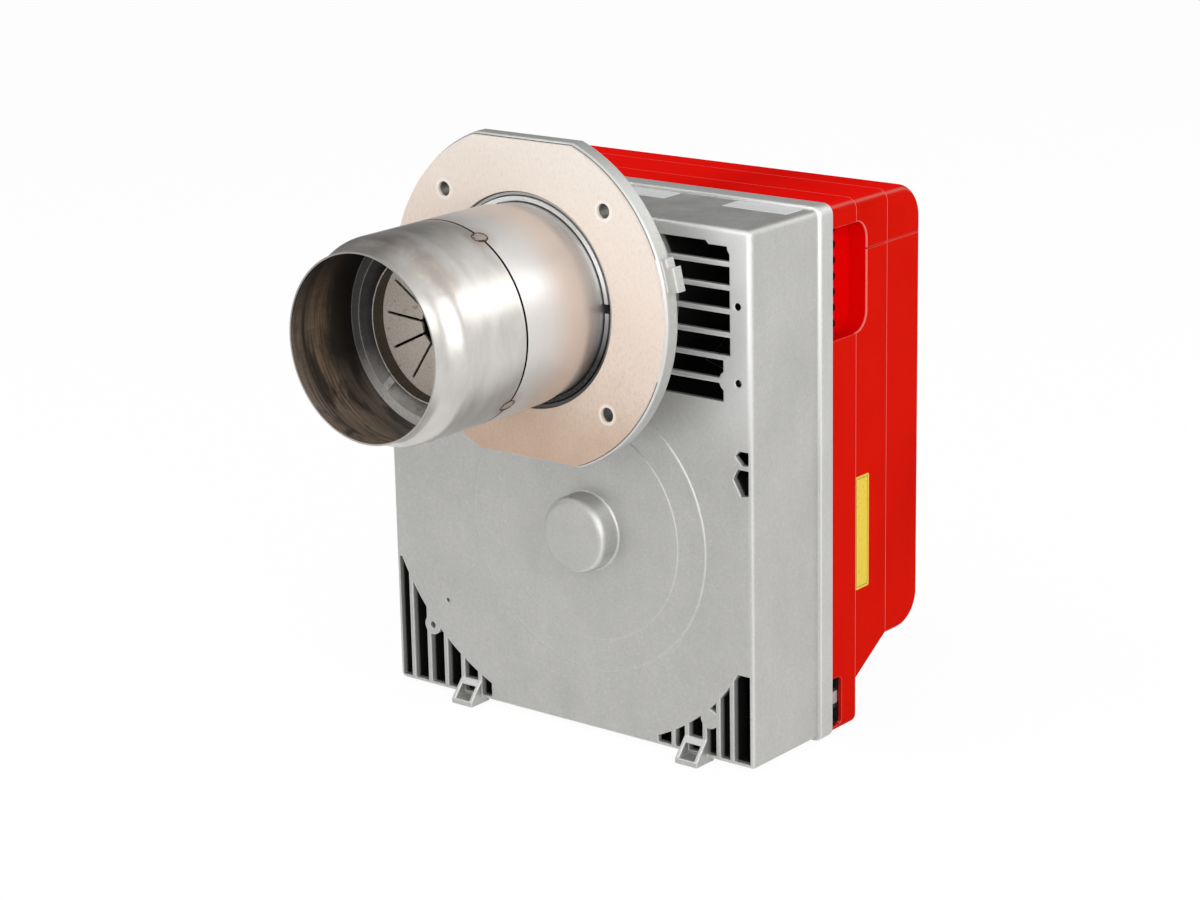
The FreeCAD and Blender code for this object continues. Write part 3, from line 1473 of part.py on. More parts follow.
# Back of the cover: widely rounded at its top and bottom, and narrowly along both sides
def barrel_form(x0, x1, y0, y1, z0, z1, bend, side_radius):
    shift = bend * (1 - math.sqrt(0.5))
    lower_arc = Part.Arc(Vector(x0, y1 - bend, z0), Vector(x0, y1 - shift, z0 + shift),
                         Vector(x0, y1, z0 + bend))
    upper_arc = Part.Arc(Vector(x0, y1, z1 - bend), Vector(x0, y1 - shift, z1 - shift),
                         Vector(x0, y1 - bend, z1))
    corners = [((y0, z0), (y1 - bend, z0)), ((y1, z0 + bend), (y1, z1 - bend)), ((y1 - bend, z1), (y0, z1)),
               ((y0, z1), (y0, z0))]
    lines = [Part.makeLine(Vector(x0, *start), Vector(x0, *end)) for start, end in corners]
    wire = Part.Wire([lines[0], lower_arc.toShape(), lines[1], upper_arc.toShape(), lines[2], lines[3]])
    barrel = Part.Face(wire).extrude(Vector(x1 - x0, 0, 0))
    sides = [e for e in barrel.Edges if e.BoundBox.XLength < 1e-4 and e.BoundBox.YMax > y0 + 1e-3]
    return barrel.makeFillet(side_radius, sides)


# Outer form of the cover, or its hollow when inset is the wall
def cover_form(inset):
    x0, x1, z0, z1 = cover_bounds(inset)
    start = rim_back_y - (1 if inset else 0)
    first = rim_back_y + cover_first_step - inset
    second = rim_back_y + cover_second_step - inset
    back = cover_back_y - inset
    radius = cover_corner_radius - inset
    step = cover_step
    low1 = z0 + cover_chamfer_rise
    low2 = z0 + cover_bulge_rise
    front = rounded_block(x0, x1, start, first, z0, z1, radius)
    slope = Part.makeLoft([rounded_outline(x0 + step, x1 - step, low1, z1 - step, radius, first),
                           rounded_outline(x0 + step, x1 - step, low2, z1 - step, radius, second)],
                          True, True)
    low2 += step
    barrel = barrel_form(x0 + 2 * step, x1 - 2 * step, second - cover_back_lap, back, low2, z1 - 2 * step,
                         cover_back_radius - inset, radius)
    return joined([front, slope, barrel])


def recess_pocket(grow, y0):
    x1 = housing_right + rim_proud
    x0 = x1 - cover_inset - recess_depth - grow
    y1 = rim_back_y + recess_length + grow
    pocket = block(x0, x1 + 1, y0, y1, -recess_bottom - grow, recess_top + grow)
    corners = [e for e in pocket.Edges
               if abs(e.BoundBox.YMin - y1) < 1e-4 and e.BoundBox.XLength > recess_depth]
    return pocket.makeFillet(recess_corner_radius, corners)


def recess_notches():
    span = recess_top + recess_bottom
    x0 = housing_right + rim_proud - cover_inset - recess_depth - cover_wall
    notches = []
    for i in range(recess_notch_count):
        z = -recess_bottom + span * (i + 0.5) / recess_notch_count
        y1 = rim_back_y + recess_notch_depth
        notch = block(x0 - 1, x0 + cover_wall + 1, rim_back_y - 1, y1,
                      z - recess_notch_width / 2, z + recess_notch_width / 2)
        ends = [e for e in notch.Edges if abs(e.BoundBox.YMin - y1) < 1e-4 and e.BoundBox.XLength > cover_wall]
        notches.append(notch.makeFillet(recess_notch_width / 2 - recess_notch_flat, ends))
    return notches


def plug_window():
    x1 = housing_right + rim_proud
    top = -socket_top
    window = block(x1 - 4 * cover_wall, x1 + 1, rim_back_y - 1, rim_back_y + plug_window_length,
                   top - plug_window_height, top)
    y1 = rim_back_y + plug_window_length
    corners = [e for e in window.Edges if abs(e.BoundBox.YMin - y1) < 1e-4 and e.BoundBox.ZLength < 1e-4]
    return window.makeFillet(plug_window_radius, corners)


def cover_groove(outer):
    x0, x1, z0, z1 = cover_bounds(0)
    band = block(x0 - 1, x1 + 1, rim_back_y + recess_length, cover_back_y + 1, groove_z - groove_width / 2,
                 groove_z + groove_width / 2)
    core = block(x0 + groove_depth + 2 * cover_step, x1 - groove_depth - 2 * cover_step, rim_back_y,
                 cover_back_y - groove_depth, z0, z1)
    return band.cut(core)


def red_cover():
    outer = cover_form(0)
    shell = outer.cut(cover_form(cover_wall))
    pan = recess_pocket(cover_wall, rim_back_y).common(outer)
    shell = joined([shell, pan])
    cutters = [recess_pocket(0, rim_back_y - 1), plug_window(), cover_groove(outer)] + recess_notches()
    cutters.append(cylinder(button_radius + wall_gap, cover_inner_y - 1, cover_back_y + 1, button_x,
                            button_z))
    cutters += [cylinder(cover_screw_radius + seat_gap, cover_inner_y - 1, cover_back_y + 1, x, z)
                for x, z in stud_places]
    return without(shell, cutters)


def cover_studs():
    y1 = cover_inner_y - seat_gap
    studs = []
    for (x, z), y0 in zip(stud_places, (plate_back_y, intake_back_y)):
        stud = cylinder(stud_radius, y0, y1, x, z)
        bore = cylinder(cover_screw_radius + running_gap, y1 - cover_screw_length, y1 + 1, x, z)
        studs.append(stud.cut(bore))
    return Part.makeCompound(studs)


def cover_screws():
    length = cover_screw_length + cover_wall - 2 * seat_gap
    screws = []
    for x, z in stud_places:
        head = cylinder(2 * cover_screw_radius, cover_back_y, cover_back_y + cover_screw_head, x, z)
        shank = cylinder(cover_screw_radius, cover_back_y - length, cover_back_y, x, z)
        socket = hexagon(1.6 * cover_screw_radius, cover_back_y + cover_screw_head / 2,
                         cover_back_y + cover_screw_head + 1, x, z)
        screws.append(joined([head, shank]).cut(socket))
    return Part.makeCompound(screws)


pieces = {
    "flange_gasket": flange_gasket,
    "mounting_flange": mounting_flange,
    "flange_screws": flange_screws,
    "front_flame_tube": front_tube,
    "rear_flame_tube": rear_tube,
    "tube_weld_spots": weld_spots,
    "tube_collar": tube_collar,
    "tube_clamp_screws": tube_clamp_screws,
    "mixing_ring": mixing_ring,
    "diffuser_cup": diffuser_cup,
    "diffuser_disc": diffuser_disc,
    "cup_support": cup_support,
    "nozzle": nozzle,
    "oil_preheater": oil_preheater,
    "nozzle_lance": nozzle_lance,
    "lance_union": lance_union,
    "electrode_insulators": electrode_insulators,
    "electrodes": electrodes,
    "electrode_holder": electrode_holder,
    "housing_casting": housing_casting,
    "component_plate": component_plate,
    "component_plate_screws": plate_screws,
    "nozzle_door": nozzle_door,
    "nozzle_door_screws": nozzle_door_screws,
    "nozzle_adjusting_screw": adjusting_screw,
    "fan_wheel": fan_wheel,
    "fan_nut": fan_nut,
    "fan_inlet_ring": inlet_ring,
    "air_intake_box": intake_box,
    "air_damper_flap": damper_flap,
    "air_damper_shaft": damper_shaft,
    "air_damper_dial": damper_dial,
    "motor_can": motor_can,
    "motor_front_cap": motor_front_cap,
    "motor_rear_cap": motor_rear_cap,
    "motor_bearings": motor_bearings,
    "motor_stator": motor_stator,
    "motor_rotor": motor_rotor,
    "motor_screws": motor_screws,
    "motor_capacitor": motor_capacitor,
    "capacitor_clip": capacitor_clip,
    "pump_coupling": pump_coupling,
    "pump_shaft": pump_shaft,
    "oil_pump_body": pump_body,
    "oil_pump_cover": pump_cover,
    "oil_pump_screws": pump_screws,
    "oil_pressure_screw": pressure_screw,
    "oil_valve_stem": valve_stem,
    "oil_valve_coil": valve_coil,
    "oil_hose_fittings": hose_fittings,
    "oil_pipe": oil_pipe,
    "ignition_unit": ignition_unit,
    "ignition_leads": ignition_leads,
    "flame_sensor": flame_sensor,
    "burner_control": burner_control,
    "reset_button": reset_button,
    "connector_sockets": connector_sockets,
    "red_cover": red_cover,
    "cover_studs": cover_studs,
    "cover_screws": cover_screws,
}

for name, make in pieces.items():
    shape = make()
    shape.exportStep("parts/" + name + ".step")
    print(name, len(shape.Solids), round(shape.Volume), shape.isValid())
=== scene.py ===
import json
import math

import bpy
from mathutils import Matrix, Vector

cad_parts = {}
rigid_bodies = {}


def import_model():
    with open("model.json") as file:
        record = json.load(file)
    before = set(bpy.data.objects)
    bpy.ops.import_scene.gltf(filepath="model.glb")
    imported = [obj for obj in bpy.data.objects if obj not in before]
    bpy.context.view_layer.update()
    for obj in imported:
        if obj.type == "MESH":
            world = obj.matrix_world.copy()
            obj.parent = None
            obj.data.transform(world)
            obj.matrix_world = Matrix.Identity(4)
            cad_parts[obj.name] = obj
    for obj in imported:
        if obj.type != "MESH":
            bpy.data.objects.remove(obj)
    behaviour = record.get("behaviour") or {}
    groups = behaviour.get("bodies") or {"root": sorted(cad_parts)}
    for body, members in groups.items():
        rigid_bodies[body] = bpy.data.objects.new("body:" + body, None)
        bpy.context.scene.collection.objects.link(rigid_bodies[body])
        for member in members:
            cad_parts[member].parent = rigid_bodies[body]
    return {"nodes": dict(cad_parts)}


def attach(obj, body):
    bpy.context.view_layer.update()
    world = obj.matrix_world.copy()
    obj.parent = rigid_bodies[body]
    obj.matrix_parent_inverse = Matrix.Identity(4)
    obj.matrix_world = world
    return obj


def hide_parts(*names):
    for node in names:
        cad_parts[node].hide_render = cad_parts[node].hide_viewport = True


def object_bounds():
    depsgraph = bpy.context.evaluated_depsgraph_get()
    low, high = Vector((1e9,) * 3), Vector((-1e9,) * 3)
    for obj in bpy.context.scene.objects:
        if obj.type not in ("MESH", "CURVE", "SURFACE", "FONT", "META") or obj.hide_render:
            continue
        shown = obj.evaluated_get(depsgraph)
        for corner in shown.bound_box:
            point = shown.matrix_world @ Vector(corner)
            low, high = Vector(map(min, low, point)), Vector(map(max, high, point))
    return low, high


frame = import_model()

nodes = frame["nodes"]
cadLow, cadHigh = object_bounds()
mm = 0.001

# the camera was fitted to the photograph's edges
cameraSetup = {
    "place": (1.1645, -1.3806, 0.4241),
    "yaw": 38.803,  # degrees, and so are pitch and roll
    "pitch": 15.946,
    "roll": -1.161,
    "lens": 94.94,
    "sensor": 36.0,
    "nearest": 0.05,
}

lightSetup = {
    "skyLevel": 0.47,  # plain white sky that lights everything
    "shineLow": 0.22,  # what bright metal sees on the left
    "shineHigh": 1.0,  # and on the right
    "floorWhite": 0.93,  # share of the floor that shines by itself for the camera
    "floorGlow": 1.02,
    "floorSize": 12.0,
    "boxes": {  # name: (place, target, size, power)
        "keyBox": ((-1.1, -1.6, 0.9), (0, 0.0, -0.1), (1.5, 1.3), 7.0),
        "frontBox": ((0.45, -2.1, 0.35), (0, -0.05, 0), (1.4, 1.0), 7.0),
        "rightBox": ((1.3, -1.1, 0.6), (0.1, 0.05, -0.12), (1.5, 1.4), 11.0),
        "sideBox": ((2.1, -0.3, 0.6), (0.1, 0.1, -0.12), (1.4, 1.6), 9.0),
        "backBox": ((1.3, 2.0, 1.0), (0.05, 0.0, 0), (2.0, 1.0), 9.0),
        "edgeBox": ((-1.2, -0.55, 1.5), (0, 0.1, 0), (0.7, 0.5), 5.0),
    },
}


def selectOnly(*objects):
    for other in bpy.context.view_layer.objects:
        other.select_set(False)
    for one in objects:
        one.select_set(True)
    bpy.context.view_layer.objects.active = objects[-1]


# Material building blocks

def startMaterial(name, color, metallic, roughness, **sockets):
    mat = bpy.data.materials.new(name)
    mat.use_nodes = True
    shader = mat.node_tree.nodes["Principled BSDF"]
    shader.inputs["Base Color"].default_value = (*color, 1.0)
    shader.inputs["Metallic"].default_value = metallic
    shader.inputs["Roughness"].default_value = roughness
    for socket, value in sockets.items():
        shader.inputs[socket.replace("_", " ")].default_value = value
    mat.diffuse_color = (*color, 1.0)
    return mat, mat.node_tree, shader


def addNode(tree, kind, links=None, **settings):
    node = tree.nodes.new(kind)
    for key, value in settings.items():
        setattr(node, key, value)
    for socket, value in (links or {}).items():
        target = node.inputs[socket]
        if isinstance(value, bpy.types.NodeSocket):
            tree.links.new(value, target)
        else:
            target.default_value = value
    return node


def objectCoords(tree, scale=(1, 1, 1), turn=(0, 0, 0)):
    coords = addNode(tree, "ShaderNodeTexCoord").outputs["Object"]
    if scale == (1, 1, 1) and turn == (0, 0, 0):
        return coords
    mapping = addNode(tree, "ShaderNodeMapping", {"Vector": coords, "Scale": scale, "Rotation": turn})
    return mapping.outputs["Vector"]


# Noise value between 0 and 1, with spots of about size metres
def noise(tree, coords, size, detail=4.0, roughness=0.55, distortion=0.0):
    return addNode(tree, "ShaderNodeTexNoise", {
        "Vector": coords, "Scale": 1.0 / size, "Detail": detail, "Roughness": roughness,
        "Distortion": distortion}).outputs["Fac"]


def ramp(tree, value, stops):
    node = addNode(tree, "ShaderNodeValToRGB", {"Fac": value})
    elements = node.color_ramp.elements
    while len(elements) < len(stops):
        elements.new(0.5)
    for element, (place, color) in zip(elements, stops):
        element.position = place
        element.color = (*color, 1.0)
    return node.outputs["Color"]


def grey(level):
    return (level, level, level)


def mixColor(tree, share, first, second):
    node = addNode(tree, "ShaderNodeMix", data_type="RGBA")
    sockets = {s.identifier: s for s in node.inputs}
    for key, value in (("Factor_Float", share), ("A_Color", first), ("B_Color", second)):
        if isinstance(value, bpy.types.NodeSocket):
            tree.links.new(value, sockets[key])
        elif key == "Factor_Float":
            sockets[key].default_value = value
        else:
            sockets[key].default_value = (*value, 1.0)
    return [s for s in node.outputs if s.identifier == "Result_Color"][0]


def mathNode(tree, operation, *values):
    node = addNode(tree, "ShaderNodeMath", operation=operation)
    for socket, value in zip(node.inputs, values):
        if isinstance(value, bpy.types.NodeSocket):
            tree.links.new(value, socket)
        else:
            socket.default_value = value
    return node.outputs[0]


def times(tree, *values):
    return mathNode(tree, "MULTIPLY", *values)


def plus(tree, *values):
    return mathNode(tree, "ADD", *values)


def minus(tree, *values):
    return mathNode(tree, "SUBTRACT", *values)


def larger(tree, *values):
    return mathNode(tree, "MAXIMUM", *values)


def absolute(tree, value):
    return mathNode(tree, "ABSOLUTE", value)


def mapRange(tree, value, low, high, toLow=0.0, toHigh=1.0):
    node = addNode(tree, "ShaderNodeMapRange", {
        "Value": value, "From Min": low, "From Max": high, "To Min": toLow, "To Max": toHigh})
    return node.outputs["Result"]


def xyz(tree, coords=None):
    split = addNode(tree, "ShaderNodeSeparateXYZ", {"Vector": coords or objectCoords(tree)})
    return split.outputs["X"], split.outputs["Y"], split.outputs["Z"]


# Height of each shaded point, less a share of its x
def tiltedHeight(tree, slope):
    x, _, z = xyz(tree)
    return minus(tree, z, times(tree, x, slope))


# Length of the flat vector with these two parts
def flatLength(tree, first, second):
    return mathNode(tree, "SQRT", plus(tree, times(tree, first, first), times(tree, second, second)))


tubeRadius = 0.06


# Coordinates that run round the flame tube and along it, with y and the distance from the tube's axis
def tubeCoords(tree, roundScale, alongScale):
    x, y, z = xyz(tree)
    angle = mathNode(tree, "ARCTAN2", z, x)
    radius = flatLength(tree, x, z)
    sine = times(tree, mathNode(tree, "SINE", angle), tubeRadius * roundScale)
    cosine = times(tree, mathNode(tree, "COSINE", angle), tubeRadius * roundScale)
    along = times(tree, y, alongScale)
    joined = addNode(tree, "ShaderNodeCombineXYZ", {"X": cosine, "Y": along, "Z": sine}).outputs["Vector"]
    return joined, y, radius


bevelSamples = 4


def addBump(tree, shader, height, strength, distance, softEdge=0.0):
    bump = addNode(tree, "ShaderNodeBump", {"Height": height, "Strength": strength, "Distance": distance})
    if softEdge:
        edge = addNode(tree, "ShaderNodeBevel", {"Radius": softEdge}, samples=bevelSamples)
        tree.links.new(edge.outputs["Normal"], bump.inputs["Normal"])
    tree.links.new(bump.outputs["Normal"], shader.inputs["Normal"])


def shadedNormal(tree):
    return addNode(tree, "ShaderNodeNewGeometry").outputs["Normal"]


def faceNormal(tree):
    return addNode(tree, "ShaderNodeNewGeometry").outputs["True Normal"]


# 1 on outer edges and 0 on flat faces
def edgeMask(tree, radius, low, high):
    edge = addNode(tree, "ShaderNodeBevel", {"Radius": radius}, samples=bevelSamples).outputs["Normal"]
    plain = shadedNormal(tree)
    same = addNode(tree, "ShaderNodeVectorMath", {0: edge, 1: plain}, operation="DOT_PRODUCT")
    return mapRange(tree, minus(tree, 1.0, same.outputs["Value"]), low, high)


# Distance of each shaded point from a fixed place
def distanceFrom(tree, coords, place):
    node = addNode(tree, "ShaderNodeVectorMath", {0: coords, 1: place}, operation="DISTANCE")
    return node.outputs["Value"]


# Shares of several (value, low, high) ranges, all multiplied
def within(tree, limits):
    share = 1.0
    for value, low, high in limits:
        share = times(tree, share, mapRange(tree, value, low, high))
    return share


# 1 on the middle of a rounding between two flat faces
def roundMask(tree, low=0.10, high=0.26):
    parts = xyz(tree, shadedNormal(tree))
    across, along, up = (absolute(tree, part) for part in parts)
    largest = larger(tree, across, larger(tree, along, up))
    return mapRange(tree, minus(tree, 1.0, largest), low, high)


# How far a face of the tube looks outwards, from -1 to 1
def lookOut(tree, radius):
    x, _, z = xyz(tree)
    faceX, _, faceZ = xyz(tree, faceNormal(tree))
    dot = plus(tree, times(tree, x, faceX), times(tree, z, faceZ))
    return mathNode(tree, "DIVIDE", dot, radius)


# 1 on faces that look towards the boiler
def lookFront(tree):
    return mapRange(tree, xyz(tree, faceNormal(tree))[1], -0.7, -0.9)


# 1 on faces that look up
def lookUp(tree, low, high):
    return mapRange(tree, xyz(tree, shadedNormal(tree))[2], low, high)


# Finishes of this burner

castFinish = {
    "color": (0.486, 0.483, 0.466),
    "dark": (0.30, 0.30, 0.295),
    "light": (0.95, 0.95, 0.94),
    "pale": (0.78, 0.78, 0.77),
    "metallic": 0.5,
    "roughness": 0.44,
    "grain": 0.0009,
    "sand": 0.0019,
    "grainHeight": 0.00014,
    "edge": 0.0017,
    "slotShade": (0.006, 0.0065, 0.006),  # painted shade inside the slots
    "boltHoleShade": (0.09, 0.08, 0.07),  # painted shade inside the flange's bolt holes
    "sunlit": (1.0, 1.0, 0.99),  # upper right part of the housing's front
}

# places in the housing and flange, in metres
castPlaces = {
    "rimX": (0.1250, 0.1254),
    "rimZ": (0.0470, 0.0474),
    "bolt": 0.0601,  # x and z of each bolt hole
    "boltRadius": (0.0050, 0.0047),
    "gasketFlat": 0.0951,
    "gasketRadius": 0.1018,
    "ringMiddle": 0.0795,  # between the gasket's two edges
    "ringInner": 0.0640,
    "front": 0.0573,  # y where the front wall ends
    "back": 0.1195,
    "walls": (-0.1600, 0.1240, -0.2836, 0.0460),  # left, right, bottom and top
    "cutCorner": 0.1580,  # z - x on the cut corner
}


# 1 on the rim that stands proud at the back of the housing
def proudRim(tree):
    x, _, z = xyz(tree)
    return larger(tree, mapRange(tree, x, *castPlaces["rimX"]), mapRange(tree, z, *castPlaces["rimZ"]))


# Distance from the axis of the nearest bolt hole of the flange
def boltDistance(tree):
    x, _, z = xyz(tree)
    quarter = {"X": absolute(tree, x), "Y": 0.0, "Z": absolute(tree, z)}
    corner = addNode(tree, "ShaderNodeCombineXYZ", quarter).outputs["Vector"]
    return distanceFrom(tree, corner, (castPlaces["bolt"], 0, castPlaces["bolt"]))


# Painted shadow lines along the gasket's outer and inner edges, on the flange's front face
def gasketShadowLine(tree):
    p = castPlaces
    x, y, z = xyz(tree)
    radius = flatLength(tree, x, z)
    flatX = minus(tree, absolute(tree, x), p["gasketFlat"])
    flatZ = minus(tree, absolute(tree, z), p["gasketFlat"])
    past = larger(tree, minus(tree, radius, p["gasketRadius"]), larger(tree, flatX, flatZ))
    middle = p["ringMiddle"]
    outer = within(tree, ((past, 0.00055, 0.00040), (radius, middle, middle + 0.0005)))
    height = tiltedHeight(tree, 0.35)
    thin = larger(tree, mapRange(tree, radius, p["ringInner"], p["ringInner"] + 0.0002),
                  mapRange(tree, height, -0.030, -0.050))
    inner = times(tree, thin, mapRange(tree, radius, middle, middle - 0.0005))
    return times(tree, larger(tree, outer, inner), mapRange(tree, y, 0.0024, 0.0022))


# 1 within the housing's walls and 0 on its outer skin
def insideBox(tree):
    left, right, bottom, top = castPlaces["walls"]
    corner = castPlaces["cutCorner"]
    x, _, z = xyz(tree)
    return within(tree, ((x, left, left + 0.002), (x, right, right - 0.002), (z, top, top - 0.002),
                         (z, bottom, bottom + 0.002), (minus(tree, z, x), corner, corner - 0.002)))


# A paler rim, painted light on the upper right of the front and painted shade on the top, mottled by the
# flow noise
def paintedHousingLight(tree, color, flow):
    f = castFinish
    color = mixColor(tree, times(tree, proudRim(tree), 0.2), color, f["pale"])
    x, y, z = xyz(tree)
    # Painted light on the upper right of the front, where it faces forwards
    bright = times(tree, mapRange(tree, z, -0.10, 0.02), mapRange(tree, x, 0.05, 0.105))
    bright = times(tree, bright, lookFront(tree))
    color = mixColor(tree, times(tree, bright, 0.9), color, f["sunlit"])
    # Painted shade on the top faces
    onTop = times(tree, lookUp(tree, 0.7, 0.95), mapRange(tree, y, 0.1225, 0.1205))
    topShade = times(tree, onTop, mapRange(tree, flow, 0.35, 0.62, 0.12, 0.62))
    return mixColor(tree, topShade, color, f["dark"])


# Painted shade on the walls inside the slots and in the two bores at the right edge
def paintHousingShade(tree, color):
    f, p = castFinish, castPlaces
    x, y, z = xyz(tree)
    depths = within(tree, ((y, p["front"], p["front"] + 0.0019), (y, p["back"] + 0.0013, p["back"])))
    walls = times(tree, insideBox(tree), depths)
    color = mixColor(tree, times(tree, walls, 0.97), color, f["slotShade"])
    facing = absolute(tree, xyz(tree, shadedNormal(tree))[1])
    bores = within(tree, ((facing, 0.4, 0.2), (x, 0.1112, 0.1116), (x, 0.1182, 0.1178),
                          (y, 0.0545, 0.0548), (y, 0.0585, 0.0580), (z, -0.0700, -0.0690),
                          (z, 0.0400, 0.0390)))
    return mixColor(tree, bores, color, grey(0.01))


# Sand-cast skin for the housing, the flange or the inner plates
def castAluminium(name, tone, part):
    f = castFinish
    base = tuple(c * tone for c in f["color"])
    mat, tree, shader = startMaterial(name, base, f["metallic"], f["roughness"])
    coords = objectCoords(tree)
    cloud = noise(tree, coords, 0.055, 3.0, 0.6)
    speck = noise(tree, coords, f["grain"], 2.0, 0.7)
    sand = noise(tree, coords, f["sand"], 3.0, 0.75)
    flow = noise(tree, objectCoords(tree, (1.0, 1.0, 0.22)), 0.02, 4.0, 0.6)
    lower = tuple(c * 0.93 for c in base)
    upper = tuple(min(1, c * 1.05) for c in base)
    color = ramp(tree, cloud, [(0.30, lower), (0.70, upper)])
    color = mixColor(tree, mapRange(tree, flow, 0.35, 0.75, 0.0, 0.16), color, f["dark"])
    color = mixColor(tree, mapRange(tree, speck, 0.45, 0.80, 0.0, 0.22), color, f["dark"])
    color = mixColor(tree, mapRange(tree, sand, 0.52, 0.78, 0.0, 0.34), color, f["dark"])
    color = mixColor(tree, mapRange(tree, sand, 0.44, 0.22, 0.0, 0.20), color, f["light"])
    if part == "housing":
        color = paintedHousingLight(tree, color, flow)
    # Painted highlights on the edges and roundings
    color = mixColor(tree, times(tree, edgeMask(tree, f["edge"], 0.01, 0.16), 0.6), color, f["light"])
    color = mixColor(tree, times(tree, roundMask(tree), 0.32), color, f["light"])
    # Painted shade: the inner plates' faces that look towards the boiler are nearly black
    if part == "inner":
        color = mixColor(tree, lookFront(tree), color, grey(0.008))
    if part == "flange":
        color = mixColor(tree, times(tree, gasketShadowLine(tree), 0.85), color, grey(0.02))
        # Painted shade inside the bolt holes
        hole = mapRange(tree, boltDistance(tree), *castPlaces["boltRadius"], 0.0, 0.75)
        color = mixColor(tree, hole, color, f["boltHoleShade"])
    if part == "housing":
        color = paintHousingShade(tree, color)
    tree.links.new(color, shader.inputs["Base Color"])
    tree.links.new(mapRange(tree, speck, 0.3, 0.8, f["roughness"] - 0.07, f["roughness"] + 0.12),
                   shader.inputs["Roughness"])
    fine = plus(tree, speck, times(tree, noise(tree, coords, 0.004, 3.0), 0.6))
    addBump(tree, shader, fine, 0.5, f["grainHeight"], f["edge"])
    return mat


# the joint between the two tubes and the weld beads on it, in millimetres and degrees
seamSetup = {
    "place": -70.0,
    "radius": 60.4,
    "angles": (63.0, -43.0, 190.0),
}

tubeFinish = {
    "bright": (0.655, 0.637, 0.610),
    "dull": (0.53, 0.507, 0.475),
    "stain": (0.30, 0.225, 0.165),
    "inside": ((0.0, (0.24, 0.19, 0.15)), (0.20, (0.15, 0.115, 0.088)), (0.26, (0.30, 0.22, 0.155)),
               (0.52, (0.26, 0.18, 0.12)), (0.70, (0.030, 0.022, 0.016)), (1.0, (0.012, 0.009, 0.008))),
    "burnt": (0.34, 0.20, 0.11),  # heat tint round the weld beads
    # soot streaks, bands and patches, and a painted shade for high up
    "soot": ((0.03, 0.022, 0.017), (0.02, 0.016, 0.013), (0.018, 0.014, 0.011), (0.010, 0.007, 0.005)),
    "paintedLowLight": (0.50, 0.40, 0.32),  # painted light low down on the inside
    "groove": (0.010, 0.008, 0.006),
    "bend": 0.121,  # -y where the outside bends inwards
    "crease": 0.1290,  # and of the fine line inside the mouth
    "roughness": 0.30,
    "halfSeam": 0.00078,
    "bead": 0.0045,
    "halo": 0.012,
}


# 1 near a weld bead and 0 away from it
def weldHalo(tree):
    near = None
    radius = seamSetup["radius"] * mm
    for angle in seamSetup["angles"]:
        a = math.radians(angle)
        centre = (radius * math.cos(a), seamSetup["place"] * mm, radius * math.sin(a))
        away = distanceFrom(tree, objectCoords(tree), centre)
        share = mapRange(tree, away, tubeFinish["bead"], tubeFinish["halo"], 1.0, 0.0)
        near = share if near is None else larger(tree, near, share)
    return near


# Black line where the two tubes meet
def seamShade(tree, color, y):
    away = absolute(tree, minus(tree, y, seamSetup["place"] * mm))
    close = mapRange(tree, away, tubeFinish["halfSeam"], tubeFinish["halfSeam"] + 0.0001, 1.0, 0.0)
    return mixColor(tree, close, color, grey(0.004))


# Bands of soot and heat tint on the inside; soot and painted shade darken it deep behind the mouth,
# painted shade darkens it high up and painted light brightens it low down
def insideShade(tree, y, wide, blotch):
    f = tubeFinish
    streak, band, patch, top = f["soot"]
    streaks = noise(tree, tubeCoords(tree, 5.0, 0.8)[0], 0.010, 4.0, 0.7)
    bands = noise(tree, tubeCoords(tree, 0.4, 9.0)[0], 0.014, 3.0, 0.6)
    # Soot and painted shade darken it deeper in
    deep = mapRange(tree, plus(tree, y, times(tree, blotch, 0.012)), -0.1348, -0.079)
    shade = ramp(tree, deep, f["inside"])
    shade = mixColor(tree, mapRange(tree, streaks, 0.42, 0.7, 0.0, 0.3), shade, streak)
    height = xyz(tree)[2]
    # Painted light low down
    shade = mixColor(tree, mapRange(tree, height, -0.018, -0.050, 0.0, 0.42), shade, f["paintedLowLight"])
    shade = mixColor(tree, mapRange(tree, bands, 0.44, 0.68, 0.0, 0.75), shade, band)
    patches = times(tree, mapRange(tree, wide, 0.5, 0.62), mapRange(tree, height, 0.0, -0.02, 0.2, 0.8))
    shade = mixColor(tree, patches, shade, patch)
    crease = mapRange(tree, absolute(tree, plus(tree, y, f["crease"])), 0.0004, 0.0012, 0.8, 0.0)
    shade = mixColor(tree, crease, shade, f["groove"])
    # Painted shade high up
    return mixColor(tree, mapRange(tree, height, 0.0, 0.040, 0.0, 0.85), shade, top)


